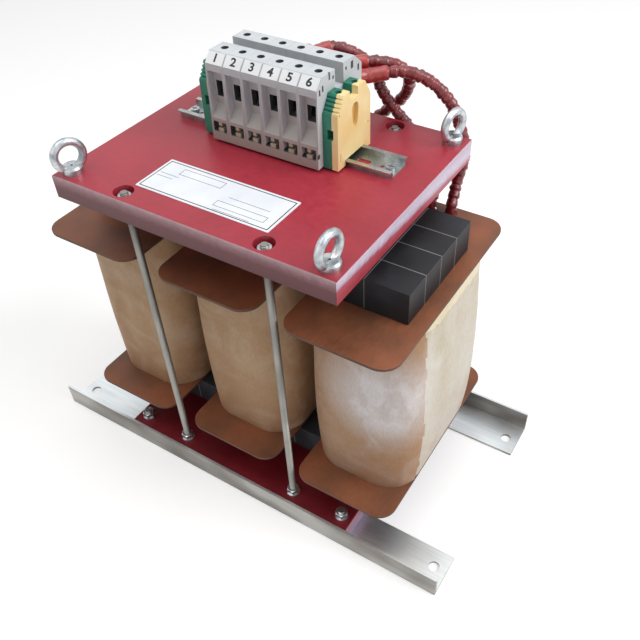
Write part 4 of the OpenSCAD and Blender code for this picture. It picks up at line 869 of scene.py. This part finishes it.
def makeLiner(look, coil):
    # the pale inner layer that shows above the outer sheet's edge
    one = look["coils"][coil]
    outline, _ = roundedOutline(look["halfX"] - look["linerInset"], look["halfY"] - look["linerInset"],
                                look["corner"] - look["linerCorner"], look["linerPoints"])
    clearSelection()
    bpy.ops.mesh.primitive_circle_add(vertices=len(outline), radius=0.06,
                                      location=(0, 0, look["bottom"] * mm))
    tube = bpy.context.object
    bpy.ops.object.transform_apply(location=True)
    for v, (x, y, _, _) in zip(tube.data.vertices, outline):
        v.co.x, v.co.y = (one["x"] + x) * mm, y * mm
    bpy.ops.object.mode_set(mode="EDIT")
    rise = (look["top"] - look["bottom"]) / look["linerRows"]
    shares = [row / look["linerRows"] for row in range(look["linerRows"] + 1)]
    widths = [look["halfX"] + look["swell"] * math.sin(math.pi * s ** look["lowShare"]) for s in shares]
    for before, after in zip(widths, widths[1:]):
        bpy.ops.mesh.extrude_region_move(TRANSFORM_OT_translate={"value": (0, 0, rise * mm)})
        bpy.ops.transform.resize(value=(after / before, 1, 1), center_override=(one["x"] * mm, 0, 0))
    bpy.ops.mesh.select_all(action="SELECT")
    bpy.ops.mesh.normals_make_consistent(inside=False)
    bpy.ops.object.mode_set(mode="OBJECT")
    thicken(tube, look["linerPaper"])
    bpy.ops.object.shade_smooth_by_angle(angle=math.radians(50))
    dress(tube, "liner")
    settle(tube, f"coil_{coil}_liner", "coil_wrap")


for coil in (1, 2, 3):
    makeWrap(wrapLook, coil)
    makeLiner(wrapLook, coil)
print("coils wrapped")

# threaded tie rods, M8 coarse thread
rodLook = {"x": 80, "y": 115, "bottom": 4, "top": 390, "pitch": 1.25, "crest": 3.98, "root": 3.42,
           "steps": 14, "chamfer": 0.8}


def makeRod(look, x, y):
    turns = int((look["top"] - look["bottom"]) / look["pitch"])
    start = look["bottom"] + (look["top"] - look["bottom"] - turns * look["pitch"]) / 2
    flat = look["pitch"] / 8
    profile = [(look["root"], 0), (look["root"], flat), (look["crest"], look["pitch"] / 2),
               (look["crest"], look["pitch"] / 2 + flat), (look["root"], look["pitch"])]
    mesh = bpy.data.meshes.new("thread")
    mesh.from_pydata([(r * mm, 0, (start + h) * mm) for r, h in profile], [(i, i + 1) for i in range(4)], [])
    rod = linked("thread", mesh)
    wind = rod.modifiers.new("thread", "SCREW")
    wind.screw_offset = look["pitch"] * mm
    wind.iterations = turns - 1
    wind.steps = wind.render_steps = look["steps"]
    wind.use_normal_calculate = True
    applyModifiers(rod)
    outward = sum(p.normal.x * p.center.x + p.normal.y * p.center.y for p in rod.data.polygons)
    if outward < 0:
        rod.data.flip_normals()
    clearSelection()
    bpy.ops.mesh.primitive_cylinder_add(vertices=24, radius=look["root"] * mm,
                                        depth=(look["top"] - look["bottom"]) * mm,
                                        location=(0, 0, (look["top"] + look["bottom"]) / 2 * mm))
    heart = bpy.context.object
    bpy.ops.object.mode_set(mode="EDIT")
    pick(heart, "FACE", lambda f: abs(f.normal.z) > 0.9)
    bpy.ops.mesh.inset(thickness=look["chamfer"] * mm, use_individual=True)
    bpy.ops.object.mode_set(mode="OBJECT")
    bpy.ops.object.transform_apply(location=True)
    joined([heart, rod])
    heart.location = (x * mm, y * mm, 0)
    bpy.ops.object.transform_apply(location=True)
    bpy.ops.object.shade_smooth_by_angle(angle=math.radians(40))
    dress(heart, "rod")
    return heart


rods = [makeRod(rodLook, sideX * rodLook["x"], sideY * rodLook["y"])
        for sideX, sideY in ((-1, -1), (1, -1), (1, 1), (-1, 1))]
settle(joined(rods), "threaded_rods", "zinc_fasteners", "tie_rods")
print("rods threaded")

# nameplate: blank white film with a printed frame and empty ruled fields
labelLook = {
    "x": -1.5, "y": -76, "z": 391, "length": 152, "width": 52, "thick": 0.5, "corner": 1.0,
    "margin": 2.4, "line": 1.1, "rule": 0.5, "ruleLift": 0.02, "ruleThick": 0.04,
    # left, bottom, width and height from the label's centre; a height of 0 is a ruled line
    "fields": [(8, -16.5, 56, 8.5), (14, 0, 46, 0), (12, -21.5, 40, 0), (-70, 3, 22, 0), (-70, -2, 18, 0),
               (-52, 8, 50, 10)],
}


def makeLabel(look):
    film = addCube((look["x"], look["y"], look["z"] + look["thick"] / 2),
                   (look["length"], look["width"], look["thick"]))
    bpy.ops.object.transform_apply(location=True, scale=True)
    bpy.ops.object.mode_set(mode="EDIT")
    pick(film, "FACE", lambda f: f.normal.z > 0.9)
    bpy.ops.mesh.inset(thickness=look["margin"] * mm)
    bpy.ops.mesh.inset(thickness=look["line"] * mm)
    pick(film, "EDGE", lambda e: abs(e.verts[0].co.z - e.verts[1].co.z) > look["thick"] * 0.9 * mm)
    bpy.ops.mesh.bevel(offset=look["corner"] * mm, segments=4)
    bpy.ops.object.mode_set(mode="OBJECT")
    dress(film, "label", "ink")
    inner = look["length"] / 2 - look["margin"], look["width"] / 2 - look["margin"]
    for p in film.data.polygons:
        dx = abs(p.center.x / mm - look["x"])
        dy = abs(p.center.y / mm - look["y"])
        onFrame = (inner[0] - look["line"] < dx < inner[0]) or (inner[1] - look["line"] < dy < inner[1])
        p.material_index = int(p.normal.z > 0.9 and onFrame and p.area < 200 * mm * mm)
    return film


def makeField(look, left, bottom, width, height):
    # a thin printed outline or a single ruled line, standing a hair proud of the film
    clearSelection()
    top = look["z"] + look["thick"] + look["ruleLift"]
    tall = max(height, look["rule"])
    bpy.ops.mesh.primitive_plane_add(size=1, location=((look["x"] + left + width / 2) * mm,
                                                       (look["y"] + bottom + tall / 2) * mm, top * mm))
    field = bpy.context.object
    field.scale = (width * mm, tall * mm, 1)
    bpy.ops.object.transform_apply(location=True, scale=True)
    if height:
        bpy.ops.object.mode_set(mode="EDIT")
        bpy.ops.mesh.select_all(action="SELECT")
        bpy.ops.mesh.inset(thickness=look["rule"] * mm)
        bpy.ops.mesh.delete(type="FACE")
        bpy.ops.object.mode_set(mode="OBJECT")
    thicken(field, look["ruleThick"])
    dress(field, "ink")
    return field


film = makeLabel(labelLook)
fields = [makeField(labelLook, *field) for field in labelLook["fields"]]
settle(film, "blank_nameplate", "label_white", "nameplate")
settle(joined(fields), "nameplate_rules", "label_white")

# marker strips with plain numbers
markerLook = {
    "foot": (3.0, 470.0), "slope": math.atan2(10, 9), "length": 13.454, "width": 19.3, "edge": 0.7,
    "gap": 0.05, "thick": 0.8, "rim": 0.5, "recess": 0.12, "round": 0.12,
    "textSize": 11.0, "textBold": 0.34, "textWide": 1.15, "textThick": 0.05, "textSink": 0.03,
}


def makeMarker(look, number):
    c, s = math.cos(look["slope"]), math.sin(look["slope"])
    up, out = Vector((0, c, s)), Vector((0, -s, c))
    foot = Vector((terminalX(number), *look["foot"]))
    middle = foot + up * (look["length"] / 2)
    strip = addCube(middle + out * (look["gap"] + look["thick"] / 2),
                    (look["width"], look["length"] - 2 * look["edge"], look["thick"]), (look["slope"], 0, 0))
    bpy.ops.object.transform_apply(location=True, rotation=True, scale=True)
    bpy.ops.object.mode_set(mode="EDIT")
    pick(strip, "FACE", lambda f: f.normal.dot(out) > 0.9)
    bpy.ops.mesh.inset(thickness=look["rim"] * mm, depth=-look["recess"] * mm)
    bpy.ops.mesh.select_all(action="SELECT")
    bpy.ops.mesh.bevel(offset=look["round"] * mm, segments=2)
    bpy.ops.object.mode_set(mode="OBJECT")
    dress(strip, "marker", "ink")
    clearSelection()
    face = middle + out * (look["gap"] + look["thick"] - look["recess"] - look["textSink"])
    bpy.ops.object.text_add(location=face * mm, rotation=(look["slope"], 0, 0))
    digit = bpy.context.object
    digit.data.body = str(number)
    digit.data.size = look["textSize"] * mm
    digit.data.align_x, digit.data.align_y = "CENTER", "CENTER"
    digit.data.extrude = look["textThick"] * mm
    digit.data.offset = look["textBold"] * mm
    digit.scale.x = look["textWide"]
    bpy.ops.object.convert(target="MESH")
    digit = bpy.context.object
    bpy.ops.object.transform_apply(location=True, rotation=True, scale=True)
    dress(digit, "marker", "ink")
    for p in digit.data.polygons:
        p.material_index = 1
    return joined([strip, digit])


markers = [makeMarker(markerLook, number) for number in range(1, terminalLook["count"] + 1)]
settle(joined(markers), "numbered_markers", "marker_white", "terminal_markers")
print("label and markers printed")

# a pale floor that reads white in the camera and keeps the shadow, and soft lamps
floorLook = {"size": 12, "colour": "#E9E9E9", "lift": 0.35, "gap": 0.3}
lightLook = {
    "world": 0.35, "aim": (0, 0, 0.2),
    # name, place in m, size in m, watts
    "lamps": [("keyRight", (2.0, 0.5, 1.9), 1.6, 42), ("overhead", (-0.2, -0.3, 2.6), 2.2, 29),
              ("frontFill", (-0.9, -2.3, 1.2), 1.6, 4)],
}


def seenRays(tree):
    # 1 for the camera's own rays and those it gets by a mirror or through glass, 0 for the rest
    light = put(tree, "LightPath")
    seen = put(tree, "Math", {0: light.outputs["Is Camera Ray"], 1: light.outputs["Is Glossy Ray"]},
               operation="MAXIMUM")
    return put(tree, "Math", {0: seen, 1: light.outputs["Is Transmission Ray"]}, operation="MAXIMUM")


def makeFloor(look):
    clearSelection()
    bpy.ops.mesh.primitive_plane_add(size=look["size"], location=(0, 0, -look["gap"] * mm))
    floor = bpy.context.object
    floor.name = "studio_floor"
    material = bpy.data.materials.new("paleFloor")
    material.use_nodes = True
    tree = material.node_tree
    glow = put(tree, "Math", {0: seenRays(tree), 1: look["lift"]}, operation="MULTIPLY")
    wire(tree, tree.nodes["Principled BSDF"], {
        "Base Color": linear(look["colour"]), "Roughness": 0.9, "Specular IOR Level": 0.1,
        "Emission Color": (1, 1, 1, 1), "Emission Strength": glow})
    floor.data.materials.append(material)


def makeWorld(strength):
    world = bpy.data.worlds.new("softWhite")
    bpy.context.scene.world = world
    world.use_nodes = True
    tree = world.node_tree
    tree.nodes.clear()
    level = put(tree, "MapRange", {0: seenRays(tree), 3: strength, 4: 1.0})
    put(tree, "OutputWorld", {0: put(tree, "Background", {0: (1, 1, 1, 1), 1: level})})


def makeLamp(name, place, size, power, aim):
    clearSelection()
    bpy.ops.object.light_add(type="AREA", location=place)
    lamp = bpy.context.object
    lamp.name = name
    lamp.data.size = size
    lamp.data.energy = power
    lamp.rotation_mode = "QUATERNION"
    lamp.rotation_quaternion = (Vector(place) - Vector(aim)).to_track_quat("Z", "Y")


makeFloor(floorLook)
makeWorld(lightLook["world"])
for lamp in lightLook["lamps"]:
    makeLamp(*lamp, lightLook["aim"])
clearSelection()
print("floor and lamps set")
